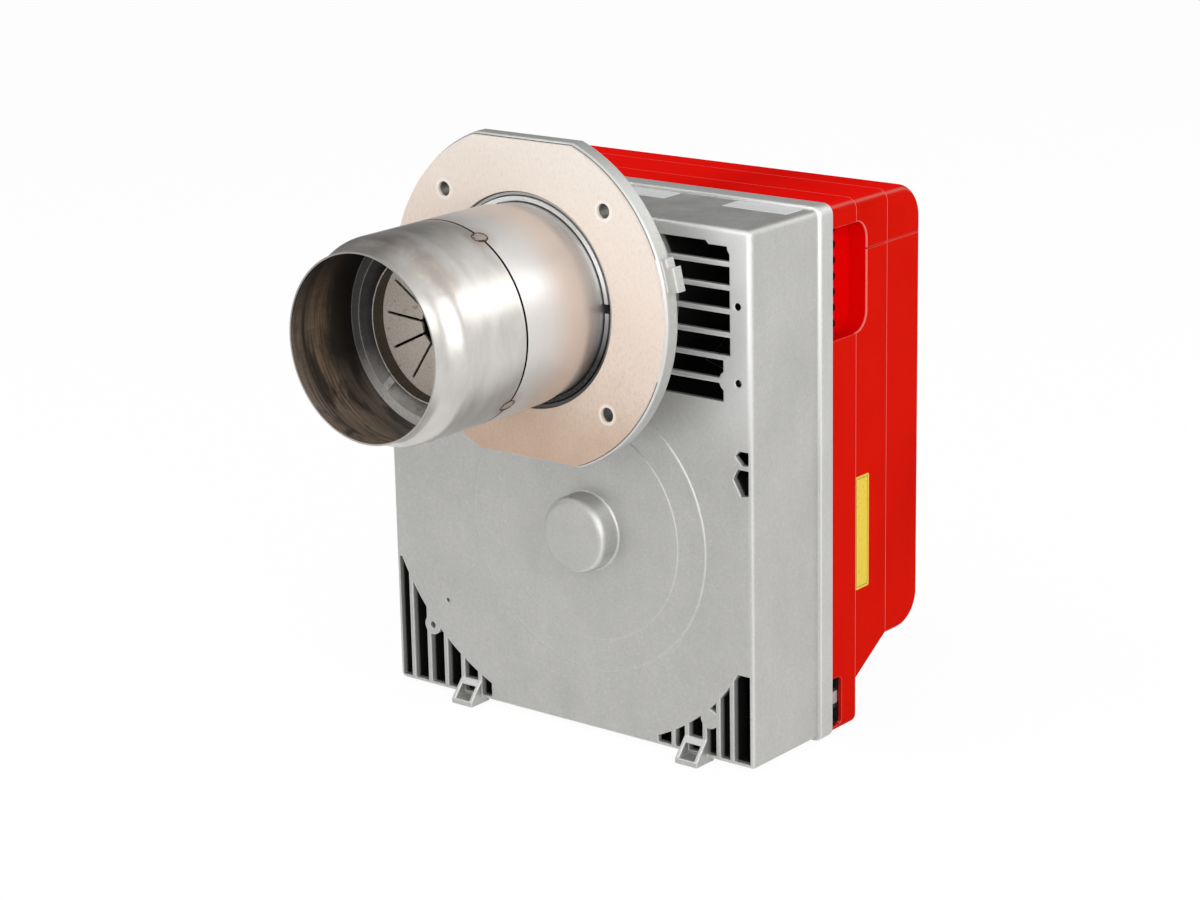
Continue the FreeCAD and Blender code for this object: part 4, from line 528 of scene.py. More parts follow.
def brushedTube():
    f = tubeFinish
    mat, tree, shader = startMaterial("brushedTube", f["bright"], 1.0, f["roughness"])
    lines, y, radius = tubeCoords(tree, 1.0, 14.0)
    fine = noise(tree, lines, 0.012, 3.0, 0.6)
    wide = noise(tree, tubeCoords(tree, 1.0, 2.6)[0], 0.03, 4.0, 0.6, 0.3)
    blotch = noise(tree, objectCoords(tree), 0.022, 5.0, 0.65, 0.4)
    color = ramp(tree, wide, [(0.28, f["dull"]), (0.62, f["bright"])])
    color = mixColor(tree, mapRange(tree, fine, 0.45, 0.8, 0.0, 0.14), color, f["dull"])
    bend = mapRange(tree, absolute(tree, plus(tree, y, f["bend"])), 0.003, 0.016, 1.0, 0.0)
    stain = times(tree, bend, mapRange(tree, blotch, 0.42, 0.64, 0.0, 0.6))
    upper = mapRange(tree, xyz(tree)[2], 0.010, 0.050)
    stained = times(tree, stain, mapRange(tree, upper, 0.0, 1.0, 0.2, 0.85))
    color = mixColor(tree, stained, color, f["stain"])
    # Painted shade: the top of the tube a little darker
    color = mixColor(tree, times(tree, upper, 0.05), color, f["stain"])
    halo = times(tree, weldHalo(tree), mapRange(tree, blotch, 0.35, 0.6, 0.15, 0.6))
    color = mixColor(tree, halo, color, f["burnt"])
    inner = mapRange(tree, lookOut(tree, radius), 0.1, -0.1)
    color = mixColor(tree, inner, color, insideShade(tree, y, wide, blotch))
    color = seamShade(tree, color, y)
    tree.links.new(color, shader.inputs["Base Color"])
    tree.links.new(mapRange(tree, inner, 0.0, 1.0, 1.0, 0.35), shader.inputs["Metallic"])
    rough = mapRange(tree, wide, 0.2, 0.8, f["roughness"] - 0.05, f["roughness"] + 0.09)
    tree.links.new(plus(tree, rough, times(tree, inner, 0.15)), shader.inputs["Roughness"])
    addBump(tree, shader, fine, 0.15, 0.00004)
    return mat


tintedFinish = {
    "bright": (0.72, 0.71, 0.70),
    "pink": (0.74, 0.665, 0.62),
    "faded": (0.68, 0.64, 0.615),
    "grey": (0.50, 0.50, 0.495),
    # painted shade where the tube meets the collar
    "root": (0.40, 0.39, 0.385),
    "burnt": (0.42, 0.30, 0.22),
    "roughness": 0.40,
}


def heatTintedTube():
    f = tintedFinish
    mat, tree, shader = startMaterial("heatTintedTube", f["bright"], 1.0, f["roughness"])
    lines, y, _ = tubeCoords(tree, 1.0, 14.0)
    fine = noise(tree, lines, 0.012, 3.0, 0.6)
    cloud = noise(tree, tubeCoords(tree, 1.0, 2.0)[0], 0.035, 4.0, 0.6)
    place = plus(tree, y, times(tree, minus(tree, cloud, 0.5), 0.03))
    share = mapRange(tree, place, -0.072, 0.006)
    tint = ramp(tree, share, [(0.0, f["bright"]), (0.30, f["bright"]), (0.55, f["pink"]),
                              (0.80, f["faded"]), (0.95, f["grey"]), (1.0, f["root"])])
    color = mixColor(tree, mapRange(tree, fine, 0.45, 0.8, 0.0, 0.14), tint, f["grey"])
    color = mixColor(tree, times(tree, weldHalo(tree), 0.35), color, f["burnt"])
    color = seamShade(tree, color, y)
    tree.links.new(color, shader.inputs["Base Color"])
    tree.links.new(mapRange(tree, cloud, 0.2, 0.8, f["roughness"] - 0.06, f["roughness"] + 0.1),
                   shader.inputs["Roughness"])
    addBump(tree, shader, fine, 0.06, 0.00002)
    return mat


# Sheet steel with rust spots and a front of its own; shaded darkens it towards the upper left with
# painted shade and lightens its edges with painted highlights
def sootedSteel(name, light, dark, rust, front, metallic=0.45, grain=0.0016, shaded=False):
    mat, tree, shader = startMaterial(name, light, metallic, 0.55)
    coords = objectCoords(tree)
    speck = noise(tree, coords, grain, 3.0, 0.7)
    cloud = noise(tree, coords, 0.018, 5.0, 0.65, 0.6)
    color = ramp(tree, cloud, [(0.3, dark), (0.65, light)])
    color = mixColor(tree, lookFront(tree), color, front)
    color = mixColor(tree, mapRange(tree, speck, 0.42, 0.8, 0.0, 0.55), color, dark)
    rusty = mapRange(tree, noise(tree, coords, 0.009, 4.0, 0.7, 1.2), 0.58, 0.74, 0.0, 0.8)
    color = mixColor(tree, rusty, color, rust)
    if shaded:
        shade = mapRange(tree, tiltedHeight(tree, 0.45), -0.034, 0.006, 0.0, 0.90)
        color = mixColor(tree, shade, color, (0.022, 0.02, 0.018))
        # Painted highlights on the edges
        color = mixColor(tree, times(tree, edgeMask(tree, 0.0011, 0.01, 0.16), 0.7), color, light)
    tree.links.new(color, shader.inputs["Base Color"])
    rough = mapRange(tree, speck, 0.2, 0.8, 0.62 - metallic * 0.4, 0.72)
    tree.links.new(rough, shader.inputs["Roughness"])
    addBump(tree, shader, speck, 0.6, 0.00018)
    return mat


gasketFinish = {
    # Painted shade: the gasket darker and browner towards the bottom
    "zones": ((0.0, (0.50, 0.36, 0.265)), (0.16, (0.58, 0.44, 0.34)), (0.40, (0.76, 0.64, 0.55)),
              (0.62, (0.79, 0.675, 0.59)), (1.0, (0.815, 0.745, 0.68))),
    "dark": (0.42, 0.28, 0.20),
    "pale": (0.92, 0.85, 0.78),
    "holeRim": (0.0068, 0.0060),  # distances from a bolt hole's axis
}


def gasketFibre():
    f = gasketFinish
    mat, tree, shader = startMaterial("gasketFibre", f["zones"][-1][1], 0.0, 0.85)
    coords = objectCoords(tree)
    fibre = noise(tree, objectCoords(tree, (1.0, 1.0, 0.6), (0, 0.5, 0)), 0.0018, 4.0, 0.8)
    speck = noise(tree, coords, 0.0011, 2.0, 0.8)
    cloud = noise(tree, coords, 0.03, 4.0, 0.6)
    height = plus(tree, tiltedHeight(tree, -0.22), times(tree, minus(tree, cloud, 0.5), 0.05))
    color = ramp(tree, mapRange(tree, height, -0.10, 0.10), f["zones"])
    grainy = mapRange(tree, height, 0.02, -0.06, 0.22, 0.55)
    share = times(tree, mapRange(tree, fibre, 0.48, 0.72), grainy)
    color = mixColor(tree, share, color, f["dark"])
    color = mixColor(tree, mapRange(tree, speck, 0.58, 0.76, 0.0, 0.45), color, f["pale"])
    rim = mapRange(tree, boltDistance(tree), *f["holeRim"], 0.0, 0.55)
    color = mixColor(tree, rim, color, f["pale"])
    tree.links.new(color, shader.inputs["Base Color"])
    addBump(tree, shader, plus(tree, fibre, speck), 0.6, 0.00025)
    return mat


# Light where the ring faces the sky and dark down in the gap under the tube
def shadedRing():
    mat, tree, shader = startMaterial("collarCasting", (0.80, 0.80, 0.79), 0.8, 0.35)
    speck = noise(tree, objectCoords(tree), 0.0012, 3.0, 0.7)
    color = ramp(tree, mapRange(tree, tiltedHeight(tree, 0.35), -0.070, -0.005), [
        (0.0, grey(0.012)), (0.35, grey(0.05)), (1.0, (0.85, 0.85, 0.84))])
    color = mixColor(tree, mapRange(tree, speck, 0.45, 0.8, 0.0, 0.3), color, grey(0.3))
    tree.links.new(color, shader.inputs["Base Color"])
    tree.links.new(mapRange(tree, speck, 0.2, 0.8, 0.28, 0.45), shader.inputs["Roughness"])
    addBump(tree, shader, speck, 0.3, 0.0001)
    return mat


def plainMetal(name, color, roughness, grain=0.0012, wear=0.2, darker=0.6, stretch=(1, 1, 1)):
    mat, tree, shader = startMaterial(name, color, 1.0, roughness)
    coords = objectCoords(tree, stretch)
    fine = noise(tree, coords, grain, 3.0, 0.65)
    cloud = noise(tree, objectCoords(tree), 0.012, 4.0, 0.6)
    shade = tuple(c * darker for c in color)
    mixed = mixColor(tree, mapRange(tree, cloud, 0.35, 0.75, 0.0, wear * 1.5), color, shade)
    mixed = mixColor(tree, mapRange(tree, fine, 0.4, 0.8, 0.0, wear), mixed, shade)
    tree.links.new(mixed, shader.inputs["Base Color"])
    rough = mapRange(tree, fine, 0.2, 0.8, roughness * 0.75, roughness * 1.3)
    tree.links.new(rough, shader.inputs["Roughness"])
    addBump(tree, shader, fine, 0.3, grain * 0.08)
    return mat


def plainPlastic(name, color, roughness, grain=0.0007, height=0.00006):
    mat, tree, shader = startMaterial(name, color, 0.0, roughness)
    fine = noise(tree, objectCoords(tree), grain, 2.0, 0.6)
    cloud = noise(tree, objectCoords(tree), 0.03, 3.0, 0.6)
    pale = tuple(min(1.0, c * 1.35 + 0.01) for c in color)
    mixed = mixColor(tree, mapRange(tree, cloud, 0.35, 0.75, 0.0, 0.3), color, pale)
    mixed = mixColor(tree, mapRange(tree, fine, 0.5, 0.8, 0.0, 0.3), mixed, pale)
    tree.links.new(mixed, shader.inputs["Base Color"])
    tree.links.new(mapRange(tree, fine, 0.2, 0.8, roughness * 0.85, min(1.0, roughness * 1.2)),
                   shader.inputs["Roughness"])
    addBump(tree, shader, fine, 0.4, height)
    return mat


coverFinish = {
    "red": (0.66, 0.007, 0.0015),
    "deep": (0.60, 0.005, 0.0010),
    # painted light: the recess brighter against its own shade
    "recess": (0.76, 0.001, 0.001),
    "top": ((0.0, (0.96, 0.006, 0.003)), (0.45, (0.90, 0.005, 0.002)), (0.62, (0.76, 0.003, 0.001)),
            (1.0, (0.92, 0.005, 0.002))),
    # colours of painted highlights on steps, edges and roundings
    "line": (1.0, 0.33, 0.28),
    "shine": (0.95, 0.38, 0.32),
    "roughness": 0.20,
    "coat": 0.035,
    "dust": (0.80, 0.20, 0.16),
    "steps": (0.1595, 0.1940),  # places along y where the skin steps inwards
    "edge": 0.0009,
}

# the hand recess, in metres
recessSetup = {
    "middle": -0.00075,  # z
    "cornerY": 0.160,
    "cornerZ": 0.02225,  # from the middle
    "corner": 0.012,
    "bottom": (-0.0358, -0.0355),
    "top": (0.0343, 0.0340),
}


# 1 on the thin edge round the mouth of the recess
def recessEdge(tree):
    s = recessSetup
    x, y, z = xyz(tree)
    sideways = larger(tree, minus(tree, y, s["cornerY"]), 0.0)
    middle = absolute(tree, minus(tree, z, s["middle"]))
    upDown = larger(tree, minus(tree, middle, s["cornerZ"]), 0.0)
    away = absolute(tree, minus(tree, flatLength(tree, sideways, upDown), s["corner"]))
    line = times(tree, mapRange(tree, away, 0.0004, 0.0002), mapRange(tree, x, 0.1238, 0.1243))
    return times(tree, line, mapRange(tree, y, 0.158, 0.161))


# 1 inside the hand recess on the cover's right side
def recessMask(tree):
    x, y, z = xyz(tree)
    return within(tree, ((x, 0.1252, 0.1246), (x, 0.1080, 0.1090), (y, 0.1728, 0.1725),
                         (z, *recessSetup["bottom"]), (z, *recessSetup["top"])))


# 1 on the walls of the notches cut through the floor of the recess
def notchWalls(tree):
    x, y, z = xyz(tree)
    return within(tree, ((x, 0.11195, 0.11185), (x, 0.1085, 0.1090), (y, 0.1580, 0.1576),
                         (z, *recessSetup["bottom"]), (z, *recessSetup["top"])))


def redGloss():
    f = coverFinish
    mat, tree, shader = startMaterial("redGloss", f["red"], 0.0, f["roughness"], Specular_IOR_Level=0.0,
                                      Coat_Weight=f["coat"], Coat_Roughness=0.09)
    coords = objectCoords(tree)
    cloud = noise(tree, coords, 0.08, 3.0, 0.5)
    peel = noise(tree, coords, 0.006, 2.0, 0.5)
    dust = noise(tree, coords, 0.0012, 3.0, 0.75)
    color = ramp(tree, cloud, [(0.3, f["deep"]), (0.6, f["red"])])
    color = mixColor(tree, mapRange(tree, dust, 0.68, 0.84, 0.0, 0.06), color, f["dust"])
    x, y, _ = xyz(tree)
    slide = plus(tree, x, times(tree, cloud, 0.03))
    # Painted light and shade across the top faces
    across = ramp(tree, mapRange(tree, slide, -0.10, 0.14), f["top"])
    color = mixColor(tree, lookUp(tree, 0.80, 0.97), color, across)
    hollow = recessMask(tree)
    # Painted light in the recess
    color = mixColor(tree, hollow, color, f["recess"])
    # Painted shade on the notch walls
    color = mixColor(tree, notchWalls(tree), color, grey(0.003))
    outside = minus(tree, 1.0, hollow)
    # Painted highlights along the steps, on the edges and on the roundings
    for place in f["steps"]:
        away = absolute(tree, minus(tree, y, place))
        line = times(tree, mapRange(tree, away, 0.00050, 0.00030), outside)
        color = mixColor(tree, times(tree, line, 0.6), color, f["line"])
    edges = times(tree, edgeMask(tree, f["edge"], 0.02, 0.2), outside)
    color = mixColor(tree, times(tree, edges, 0.5), color, f["line"])
    rounds = times(tree, roundMask(tree, 0.14, 0.27), outside)
    color = mixColor(tree, times(tree, rounds, 0.28), color, f["shine"])
    # Painted highlight round the recess's mouth
    color = mixColor(tree, times(tree, recessEdge(tree), 0.75), color, f["line"])
    tree.links.new(color, shader.inputs["Base Color"])
    addBump(tree, shader, peel, 0.10, 0.00008, f["edge"])
    return mat


labelSetup = {
    "thickness": 0.25,
    "sunk": 0.1,  # how deep the strip reaches into the cover's side
    "corner": 1.2,
    "cornerSteps": 5,
    "large": (68.0, 115.0, 102.5, 119.5),  # x0, x1, y0, y1 on the housing's top
    "small": (-22.0, 25.4, 101.5, 119.5),
    "top": 46.5,  # z of the housing's top
    "strip": (159.5, 174.5, -198.5, -126.0),  # y0, y1, z0, z1 on the cover's side
    "side": 125.2,  # x of the cover's side
    "frame": 1.6,  # distance of the strip's printed line from its edge
    "yellow": (0.78, 0.56, 0.008),
    "paler": (0.84, 0.64, 0.025),
    "print": (0.02, 0.02, 0.015),
}


# Yellow film with a thin dark line printed round it
def framedYellow():
    s = labelSetup
    mat, tree, shader = startMaterial("labelYellow", s["yellow"], 0.0, 0.3)
    _, y, z = xyz(tree)
    y0, y1, z0, z1 = (place * mm for place in s["strip"])
    across = absolute(tree, minus(tree, y, (y0 + y1) / 2))
    along = absolute(tree, minus(tree, z, (z0 + z1) / 2))
    edgeY = minus(tree, (y1 - y0) / 2, across)
    edgeZ = minus(tree, (z1 - z0) / 2, along)
    inset = mathNode(tree, "MINIMUM", edgeY, edgeZ)
    off = absolute(tree, minus(tree, inset, s["frame"] * mm))
    line = mapRange(tree, off, 0.00015, 0.00030, 1.0, 0.0)
    fine = noise(tree, objectCoords(tree), 0.003, 3.0, 0.6)
    color = mixColor(tree, mapRange(tree, fine, 0.4, 0.8, 0.0, 0.2), s["yellow"], s["paler"])
    color = mixColor(tree, times(tree, line, 0.8), color, s["print"])
    tree.links.new(color, shader.inputs["Base Color"])
    tree.links.new(mapRange(tree, fine, 0.2, 0.8, 0.24, 0.36), shader.inputs["Roughness"])
    addBump(tree, shader, fine, 0.2, 0.00002)
    return mat


materials = {
    "cast": castAluminium("castAluminium", 1.0, "housing"),
    "flange": castAluminium("flangeCasting", 1.0, "flange"),
    "innerCast": castAluminium("innerCasting", 0.9, "inner"),
    "tube": brushedTube(),
    "tinted": heatTintedTube(),
    "gasket": gasketFibre(),
    "ring": sootedSteel("mixingRingSteel", (0.74, 0.72, 0.69), (0.42, 0.40, 0.38), (0.30, 0.23, 0.17),
                        (0.80, 0.78, 0.75), 0.25, 0.0016, True),
    "cup": sootedSteel("cupSteel", (0.085, 0.065, 0.048), (0.045, 0.033, 0.024), (0.10, 0.055, 0.03),
                       (0.80, 0.76, 0.70)),
    "disc": sootedSteel("discSteel", (0.74, 0.67, 0.59), (0.36, 0.32, 0.27), (0.34, 0.19, 0.08),
                        (0.82, 0.74, 0.65), 0.45, 0.0012),
    "collar": shadedRing(),
    "stainless": plainMetal("plainStainless", (0.60, 0.59, 0.57), 0.28),
    "zinc": plainMetal("zincPlate", (0.62, 0.63, 0.65), 0.30, 0.0009, 0.25),
    "brass": plainMetal("machinedBrass", (0.72, 0.52, 0.24), 0.27, 0.0010, 0.25),
    "copper": plainMetal("drawnCopper", (0.72, 0.36, 0.20), 0.30, 0.0016, 0.3),
    "galvanised": plainMetal("galvanisedSheet", (0.58, 0.60, 0.61), 0.36, 0.004, 0.3),
    "bell": plainMetal("machinedBell", (0.60, 0.60, 0.61), 0.38, 0.0012, 0.25),
    "laminations": plainMetal("laminations", (0.26, 0.24, 0.22), 0.45, 0.0009, 0.4, 0.5, (1, 8, 1)),
    "motor": plainPlastic("motorPaint", (0.018, 0.019, 0.022), 0.38, 0.0009),
    "black": plainPlastic("blackPlastic", (0.012, 0.012, 0.013), 0.48),
    "grey": plainPlastic("greyPlastic", (0.30, 0.31, 0.32), 0.45),
    "rubber": plainPlastic("siliconeRubber", (0.035, 0.022, 0.018), 0.62, 0.0012),
    "ceramic": plainPlastic("glazedCeramic", (0.78, 0.74, 0.66), 0.12, 0.003, 0.00003),
    "button": plainPlastic("buttonRed", (0.42, 0.012, 0.010), 0.22, 0.004, 0.00003),
    "labelWhite": plainPlastic("labelWhite", (0.78, 0.79, 0.80), 0.30, 0.002, 0.00002),
    "labelYellow": framedYellow(),
    "weldRim": plainMetal("weldRim", (0.085, 0.045, 0.025), 0.42, 0.0008, 0.4),
    "weldCentre": plainMetal("weldCentre", (0.60, 0.52, 0.46), 0.24, 0.0030, 0.6),
    "socketGrey": plainPlastic("socketGrey", (0.50, 0.47, 0.47), 0.35),
    "red": redGloss(),
}

finishes = {
    "flange_gasket": "gasket", "mounting_flange": "flange", "flange_screws": "zinc",
    "front_flame_tube": "tube", "rear_flame_tube": "tinted", "tube_weld_spots": "weldRim",
    "tube_collar": "collar", "tube_clamp_screws": "zinc", "mixing_ring": "ring", "diffuser_cup": "cup",
    "diffuser_disc": "disc", "cup_support": "stainless", "nozzle": "brass", "oil_preheater": "bell",
    "nozzle_lance": "zinc", "lance_union": "brass", "electrode_insulators": "ceramic",
    "electrodes": "stainless", "electrode_holder": "bell", "housing_casting": "cast",
    "component_plate": "innerCast", "component_plate_screws": "zinc", "nozzle_door": "innerCast",
    "nozzle_door_screws": "zinc", "nozzle_adjusting_screw": "zinc", "fan_wheel": "galvanised",
    "fan_nut": "zinc", "fan_inlet_ring": "black", "air_intake_box": "black", "air_damper_flap": "bell",
    "air_damper_shaft": "zinc", "air_damper_dial": "grey", "motor_can": "motor",
    "motor_front_cap": "bell", "motor_rear_cap": "bell", "motor_bearings": "stainless",
    "motor_stator": "laminations", "motor_rotor": "laminations", "motor_screws": "zinc",
    "motor_capacitor": "grey", "capacitor_clip": "galvanised", "pump_coupling": "black",
    "pump_shaft": "zinc", "oil_pump_body": "bell", "oil_pump_cover": "bell",
    "oil_pump_screws": "zinc", "oil_pressure_screw": "zinc",
    "oil_valve_stem": "brass", "oil_valve_coil": "black", "oil_hose_fittings": "brass",
    "oil_pipe": "copper", "ignition_unit": "black", "ignition_leads": "rubber", "flame_sensor": "black",
    "burner_control": "black", "reset_button": "button", "connector_sockets": "black", "red_cover": "red",
    "cover_studs": "zinc", "cover_screws": "zinc",
}

smoothSetup = {
    "merge": 0.000002,
    "cadAngle": 24.0,  # degrees; sharper edges of the CAD nodes stay sharp
    "pieceAngle": 32.0,  # and of the new pieces
}


# Merges a CAD node's triangles for shading and keeps its sharp edges sharp
def smoothingGroup(angle):
    group = bpy.data.node_groups.new("smoothByAngle", "GeometryNodeTree")
    group.interface.new_socket("Geometry", in_out="INPUT", socket_type="NodeSocketGeometry")
    group.interface.new_socket("Geometry", in_out="OUTPUT", socket_type="NodeSocketGeometry")
    start = group.nodes.new("NodeGroupInput")
    end = group.nodes.new("NodeGroupOutput")
    merge = addNode(group, "GeometryNodeMergeByDistance", {
        "Geometry": start.outputs[0], "Distance": smoothSetup["merge"]})
    faces = addNode(group, "GeometryNodeSetShadeSmooth", {
        "Geometry": merge.outputs[0], "Shade Smooth": True})
    bend = addNode(group, "GeometryNodeInputMeshEdgeAngle").outputs["Unsigned Angle"]
    sharp = addNode(group, "FunctionNodeCompare", {"A": bend, "B": math.radians(angle)},
                    operation="GREATER_THAN")
    edges = addNode(group, "GeometryNodeSetShadeSmooth", {
        "Geometry": faces.outputs[0], "Selection": sharp.outputs["Result"],
        "Shade Smooth": False}, domain="EDGE")
    group.links.new(edges.outputs[0], end.inputs[0])
    return group


smoothing = smoothingGroup(smoothSetup["cadAngle"])
for name, node in nodes.items():
    node.data.materials.clear()
    node.data.materials.append(materials[finishes[name]])
    modifier = node.modifiers.new("smoothByAngle", "NODES")
    modifier.node_group = smoothing
print("finishes on", len(nodes), "nodes")


# New pieces

def finishPiece(piece, body, *replaced, slot=None):
    selectOnly(piece)
    bpy.ops.object.transform_apply(location=True, rotation=True, scale=True)
    bpy.ops.object.shade_smooth_by_angle(angle=math.radians(smoothSetup["pieceAngle"]))
    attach(piece, body)
    if replaced:
        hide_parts(*replaced)


def giveMaterials(piece, *names):
    piece.data.materials.clear()
    for name in names:
        piece.data.materials.append(materials[name])


def joinPieces(pieces, name):
    selectOnly(*pieces)
    bpy.ops.object.join()
    joined = bpy.context.view_layer.objects.active
    joined.name = name
    joined.data.name = name
    return joined


# Cube between two corners given in millimetres, with its object at the cube's middle
def addBlock(name, low, high):
    middle = [(a + b) / 2 * mm for a, b in zip(low, high)]
    bpy.ops.mesh.primitive_cube_add(size=1.0, location=middle)
    block = bpy.context.view_layer.objects.active
    block.name = name
    block.scale = [(b - a) * mm for a, b in zip(low, high)]
    selectOnly(block)
    bpy.ops.object.transform_apply(location=False, rotation=False, scale=True)
    return block


def pickFaces(block, wanted):
    bpy.ops.object.mode_set(mode="EDIT")
    bpy.ops.mesh.select_all(action="DESELECT")
    bpy.ops.object.mode_set(mode="OBJECT")
    for face in block.data.polygons:
        face.select = wanted(face)
    bpy.ops.object.mode_set(mode="EDIT")
    bpy.ops.mesh.select_mode(type="FACE")


def pickEdges(block, wanted):
    bpy.ops.object.mode_set(mode="EDIT")
    bpy.ops.mesh.select_all(action="DESELECT")
    bpy.ops.mesh.select_mode(type="EDGE")
    bpy.ops.object.mode_set(mode="OBJECT")
    points = block.data.vertices
    for edge in block.data.edges:
        edge.select = wanted(points[edge.vertices[0]].co, points[edge.vertices[1]].co)
    bpy.ops.object.mode_set(mode="EDIT")


def leaveEdit():
    bpy.ops.object.mode_set(mode="OBJECT")


# Thin plate with the four edges along one axis rounded
def addLabel(name, low, high, axis, material):
    def alongAxis(a, b):
        return all(abs(a[i] - b[i]) < 1e-7 for i in range(3) if i != axis)

    label = addBlock(name, low, high)
    pickEdges(label, alongAxis)
    bpy.ops.mesh.bevel(offset=labelSetup["corner"] * mm, segments=labelSetup["cornerSteps"], profile=0.5)
    leaveEdit()
    giveMaterials(label, material)
    return label


def makeLabels():
    s = labelSetup
    top, side, thick = s["top"], s["side"], s["thickness"]
    for name, key in (("topLabelRight", "large"), ("topLabelMiddle", "small")):
        x0, x1, y0, y1 = s[key]
        label = addLabel(name, (x0, y0, top), (x1, y1, top + thick), 2, "labelWhite")
        finishPiece(label, "base")
    y0, y1, z0, z1 = s["strip"]
    strip = addLabel("sideStrip", (side - s["sunk"], y0, z0), (side + thick, y1, z1), 0, "labelYellow")
    finishPiece(strip, "cover")
    print("labels done")


weldSetup = {
    "halfLength": 6.3,
    "halfWidth": 4.6,
    "sunk": 0.45,  # depth of the bead's foot below the tube's skin
    "points": 36,
    # inset and rise of each ring inwards
    "steps": ((0.10, 0.62), (0.12, -0.22), (0.16, 0.12), (0.16, -0.06), (0.18, 0.10)),
    "uneven": 0.045,
    "seed": 4,
    "centre": 0.70,  # share of the bead with the bright metal
}


# Places a piece on the tube's skin, its z outwards and its y along the tube
def tubeMatrix(angle, y, radius):
    a = math.radians(angle)
    out = Vector((math.cos(a), 0, math.sin(a)))
    along = Vector((0, 1, 0))
    side = along.cross(out)
    turn = Matrix((side, along, out)).transposed().to_4x4()
    return Matrix.Translation(out * radius * mm + along * y * mm) @ turn


# Flat oval puddle of metal with a raised dark rim, pressed over the seam
def makeWelds():
    s = weldSetup
    bpy.ops.mesh.primitive_circle_add(vertices=s["points"], radius=1.0, fill_type="NGON",
                                      location=(0, 0, -s["sunk"]))
    bead = bpy.context.view_layer.objects.active
    bead.name = "weldBead"
    selectOnly(bead)
    bpy.ops.object.mode_set(mode="EDIT")
    bpy.ops.mesh.select_all(action="SELECT")
    for inset, rise in s["steps"]:
        bpy.ops.mesh.inset(thickness=inset, depth=rise)
    bpy.ops.mesh.poke()
    bpy.ops.mesh.select_all(action="SELECT")
    bpy.ops.transform.vertex_random(offset=s["uneven"], seed=s["seed"])
    leaveEdit()
    giveMaterials(bead, "weldRim", "weldCentre")
    for face in bead.data.polygons:
        face.material_index = 1 if face.center.xy.length < s["centre"] else 0
    selectOnly(bead)
    bpy.ops.object.transform_apply(location=True, rotation=True, scale=True)
    flatten = Matrix.Diagonal((s["halfWidth"] * mm, s["halfLength"] * mm, mm, 1))
    beads = [bead]
    for number in range(1, len(seamSetup["angles"])):
        copy = bead.copy()
        copy.data = bead.data.copy()
        copy.name = copy.data.name = "weldBead" + str(number)
        bpy.context.scene.collection.objects.link(copy)
        beads.append(copy)
    for one, angle in zip(beads, seamSetup["angles"]):
        one.matrix_world = tubeMatrix(angle, seamSetup["place"], seamSetup["radius"]) @ flatten
        selectOnly(one)
        bpy.ops.object.transform_apply(location=True, rotation=True, scale=True)
    finishPiece(joinPieces(beads, "weldBeads"), "base", "tube_weld_spots", slot="weld_bead")
    print("weld beads done")


socketSetup = {
    "x": (96.7, 122.7),
    "y": (127.0, 146.0),
    "rows": (("upperSocket", -259.5, -249.0, 0.0, "black"),  # name, z0, z1, inset, material
             ("socketCarrier", -268.0, -259.5, 0.5, "socketGrey"),
             ("lowerSocket", -281.0, -268.0, 0.0, "black")),
    "edge": 0.5,
    "edgeSteps": 2,
    "rim": 1.6,
    "well": 4.0,
    "core": 0.6,  # share of the well's depth that its core stands up
    "smallest": 20.0,  # square millimetres; smaller faces are roundings
}


def faceRight(face):
    return face.normal.x > 0.9 and face.area > socketSetup["smallest"] * mm * mm


# Each socket has a well for its plug; the carrier between them has a shallow step
def makeSockets():
    s = socketSetup
    blocks = []
    for name, z0, z1, inset, material in s["rows"]:
        block = addBlock(name, (s["x"][0], s["y"][0], z0), (s["x"][1] - inset, s["y"][1] - inset, z1))
        giveMaterials(block, material)
        bevel = block.modifiers.new("edges", "BEVEL")
        bevel.width = s["edge"] * mm
        bevel.segments = s["edgeSteps"]
        bpy.ops.object.modifier_apply(modifier="edges")
        pickFaces(block, faceRight)
        depth = s["well"] if material == "black" else s["edge"]
        bpy.ops.mesh.inset(thickness=s["rim"] * mm)
        bpy.ops.mesh.extrude_region_move(TRANSFORM_OT_translate={"value": (-depth * mm, 0, 0)})
        if material == "black":
            bpy.ops.mesh.inset(thickness=s["rim"] * mm)
            rise = depth * s["core"] * mm
            bpy.ops.mesh.extrude_region_move(TRANSFORM_OT_translate={"value": (rise, 0, 0)})
        leaveEdit()
        selectOnly(block)
        bpy.ops.object.transform_apply(location=True, rotation=True, scale=True)
        blocks.append(block)
    finishPiece(joinPieces(blocks, "socketBlock"), "base", "connector_sockets")
    print("sockets done")


makeLabels()
makeWelds()
makeSockets()


# Floor, lights and camera

def makeStage():
    bpy.ops.mesh.primitive_plane_add(size=1.0, location=(0, 0, 0))
    floor = bpy.context.view_layer.objects.active
    floor.name = "floor"
    floor.scale = (lightSetup["floorSize"], lightSetup["floorSize"], 1)
    floor.location = (0, 0, cadLow.z)
    mat, tree, shader = startMaterial("paleFloor", grey(0.9), 0.0, 0.9)
    path = addNode(tree, "ShaderNodeLightPath")
    mirrored = plus(tree, path.outputs["Is Glossy Ray"], path.outputs["Is Transmission Ray"])
    seen = plus(tree, path.outputs["Is Camera Ray"], mirrored)
    glow = addNode(tree, "ShaderNodeEmission", {
        "Color": (1, 1, 1, 1), "Strength": lightSetup["floorGlow"]})
    mix = addNode(tree, "ShaderNodeMixShader")
    tree.links.new(times(tree, seen, lightSetup["floorWhite"]), mix.inputs[0])
    tree.links.new(shader.outputs[0], mix.inputs[1])
    tree.links.new(glow.outputs[0], mix.inputs[2])
    tree.links.new(mix.outputs[0], tree.nodes["Material Output"].inputs["Surface"])
    floor.data.materials.append(mat)


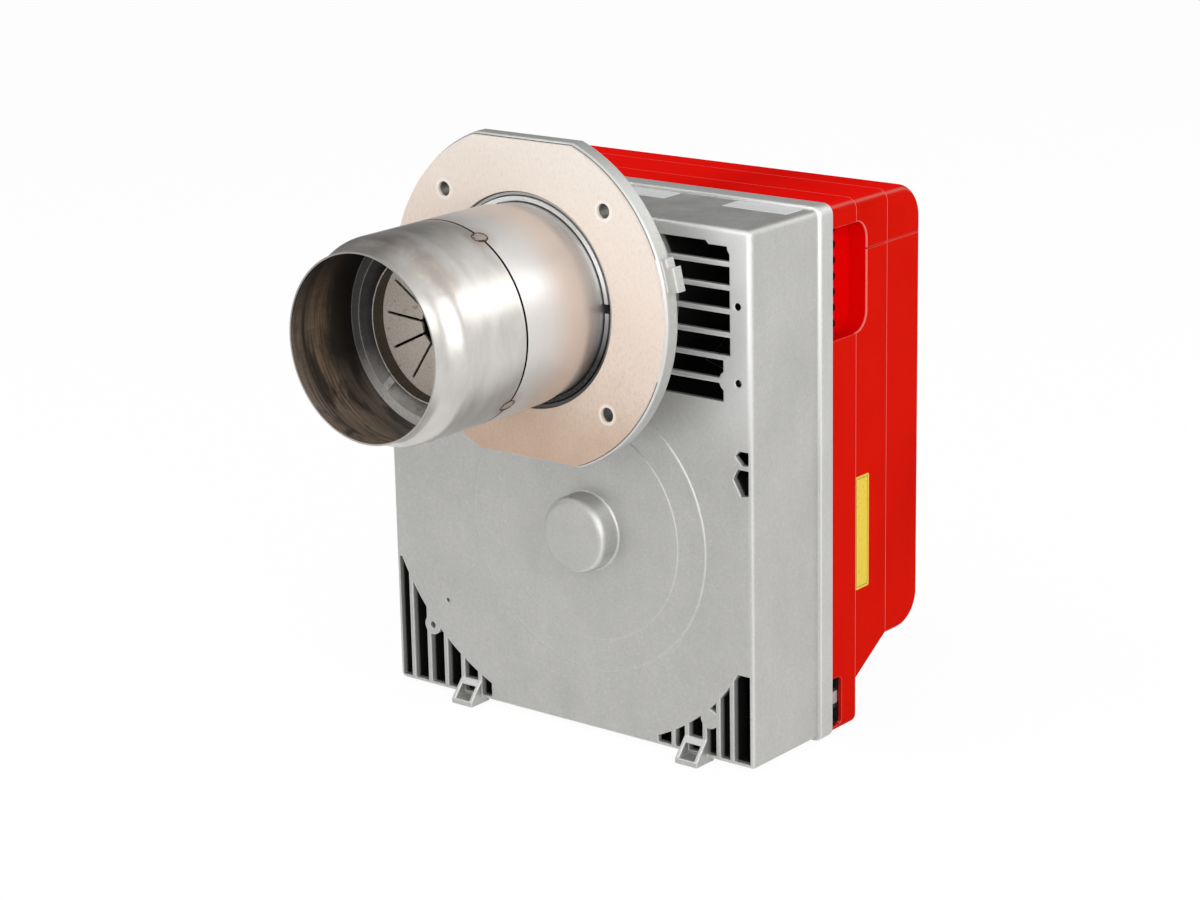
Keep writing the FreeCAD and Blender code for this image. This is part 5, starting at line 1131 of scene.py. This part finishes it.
def makeSky():
    world = bpy.data.worlds.new("whiteSky")
    bpy.context.scene.world = world
    world.use_nodes = True
    tree = world.node_tree
    back = tree.nodes["Background"]
    back.inputs["Color"].default_value = (1, 1, 1, 1)
    path = addNode(tree, "ShaderNodeLightPath")
    direction = addNode(tree, "ShaderNodeTexCoord").outputs["Generated"]
    toRight = xyz(tree, direction)[0]
    shine = mapRange(tree, toRight, -0.55, 0.15, lightSetup["shineLow"], lightSetup["shineHigh"])
    mirror = larger(tree, path.outputs["Is Glossy Ray"], path.outputs["Is Transmission Ray"])
    sky = lightSetup["skyLevel"]
    level = plus(tree, sky, times(tree, mirror, minus(tree, shine, sky)))
    level = larger(tree, level, path.outputs["Is Camera Ray"])
    tree.links.new(level, back.inputs["Strength"])


def addSoftbox(name, place, target, size, power):
    bpy.ops.object.light_add(type="AREA", location=place)
    lamp = bpy.context.view_layer.objects.active
    lamp.name = name
    lamp.data.shape = "RECTANGLE"
    lamp.data.size, lamp.data.size_y = size
    lamp.data.energy = power
    lamp.rotation_mode = "QUATERNION"
    lamp.rotation_quaternion = (Vector(target) - Vector(place)).to_track_quat("-Z", "Y")


def makeCamera():
    s = cameraSetup
    yaw, pitch, roll = (math.radians(s[k]) for k in ("yaw", "pitch", "roll"))
    back = Vector((math.sin(yaw) * math.cos(pitch), -math.cos(yaw) * math.cos(pitch), math.sin(pitch)))
    right = Vector((math.cos(yaw), math.sin(yaw), 0))
    up = back.cross(right)
    turnedRight = right * math.cos(roll) + up * math.sin(roll)
    turnedUp = up * math.cos(roll) - right * math.sin(roll)
    data = bpy.data.cameras.new("photoCamera")
    camera = bpy.data.objects.new("photoCamera", data)
    bpy.context.scene.collection.objects.link(camera)
    turn = Matrix((turnedRight, turnedUp, back)).transposed().to_4x4()
    camera.matrix_world = Matrix.Translation(s["place"]) @ turn
    data.sensor_width = s["sensor"]
    data.lens = s["lens"]
    data.clip_start = s["nearest"]
    bpy.context.scene.camera = camera


makeStage()
makeSky()
for name, (place, target, size, power) in lightSetup["boxes"].items():
    addSoftbox(name, place, target, size, power)
makeCamera()
bpy.context.scene.view_settings.view_transform = "Standard"
print("stage, lights and camera done")
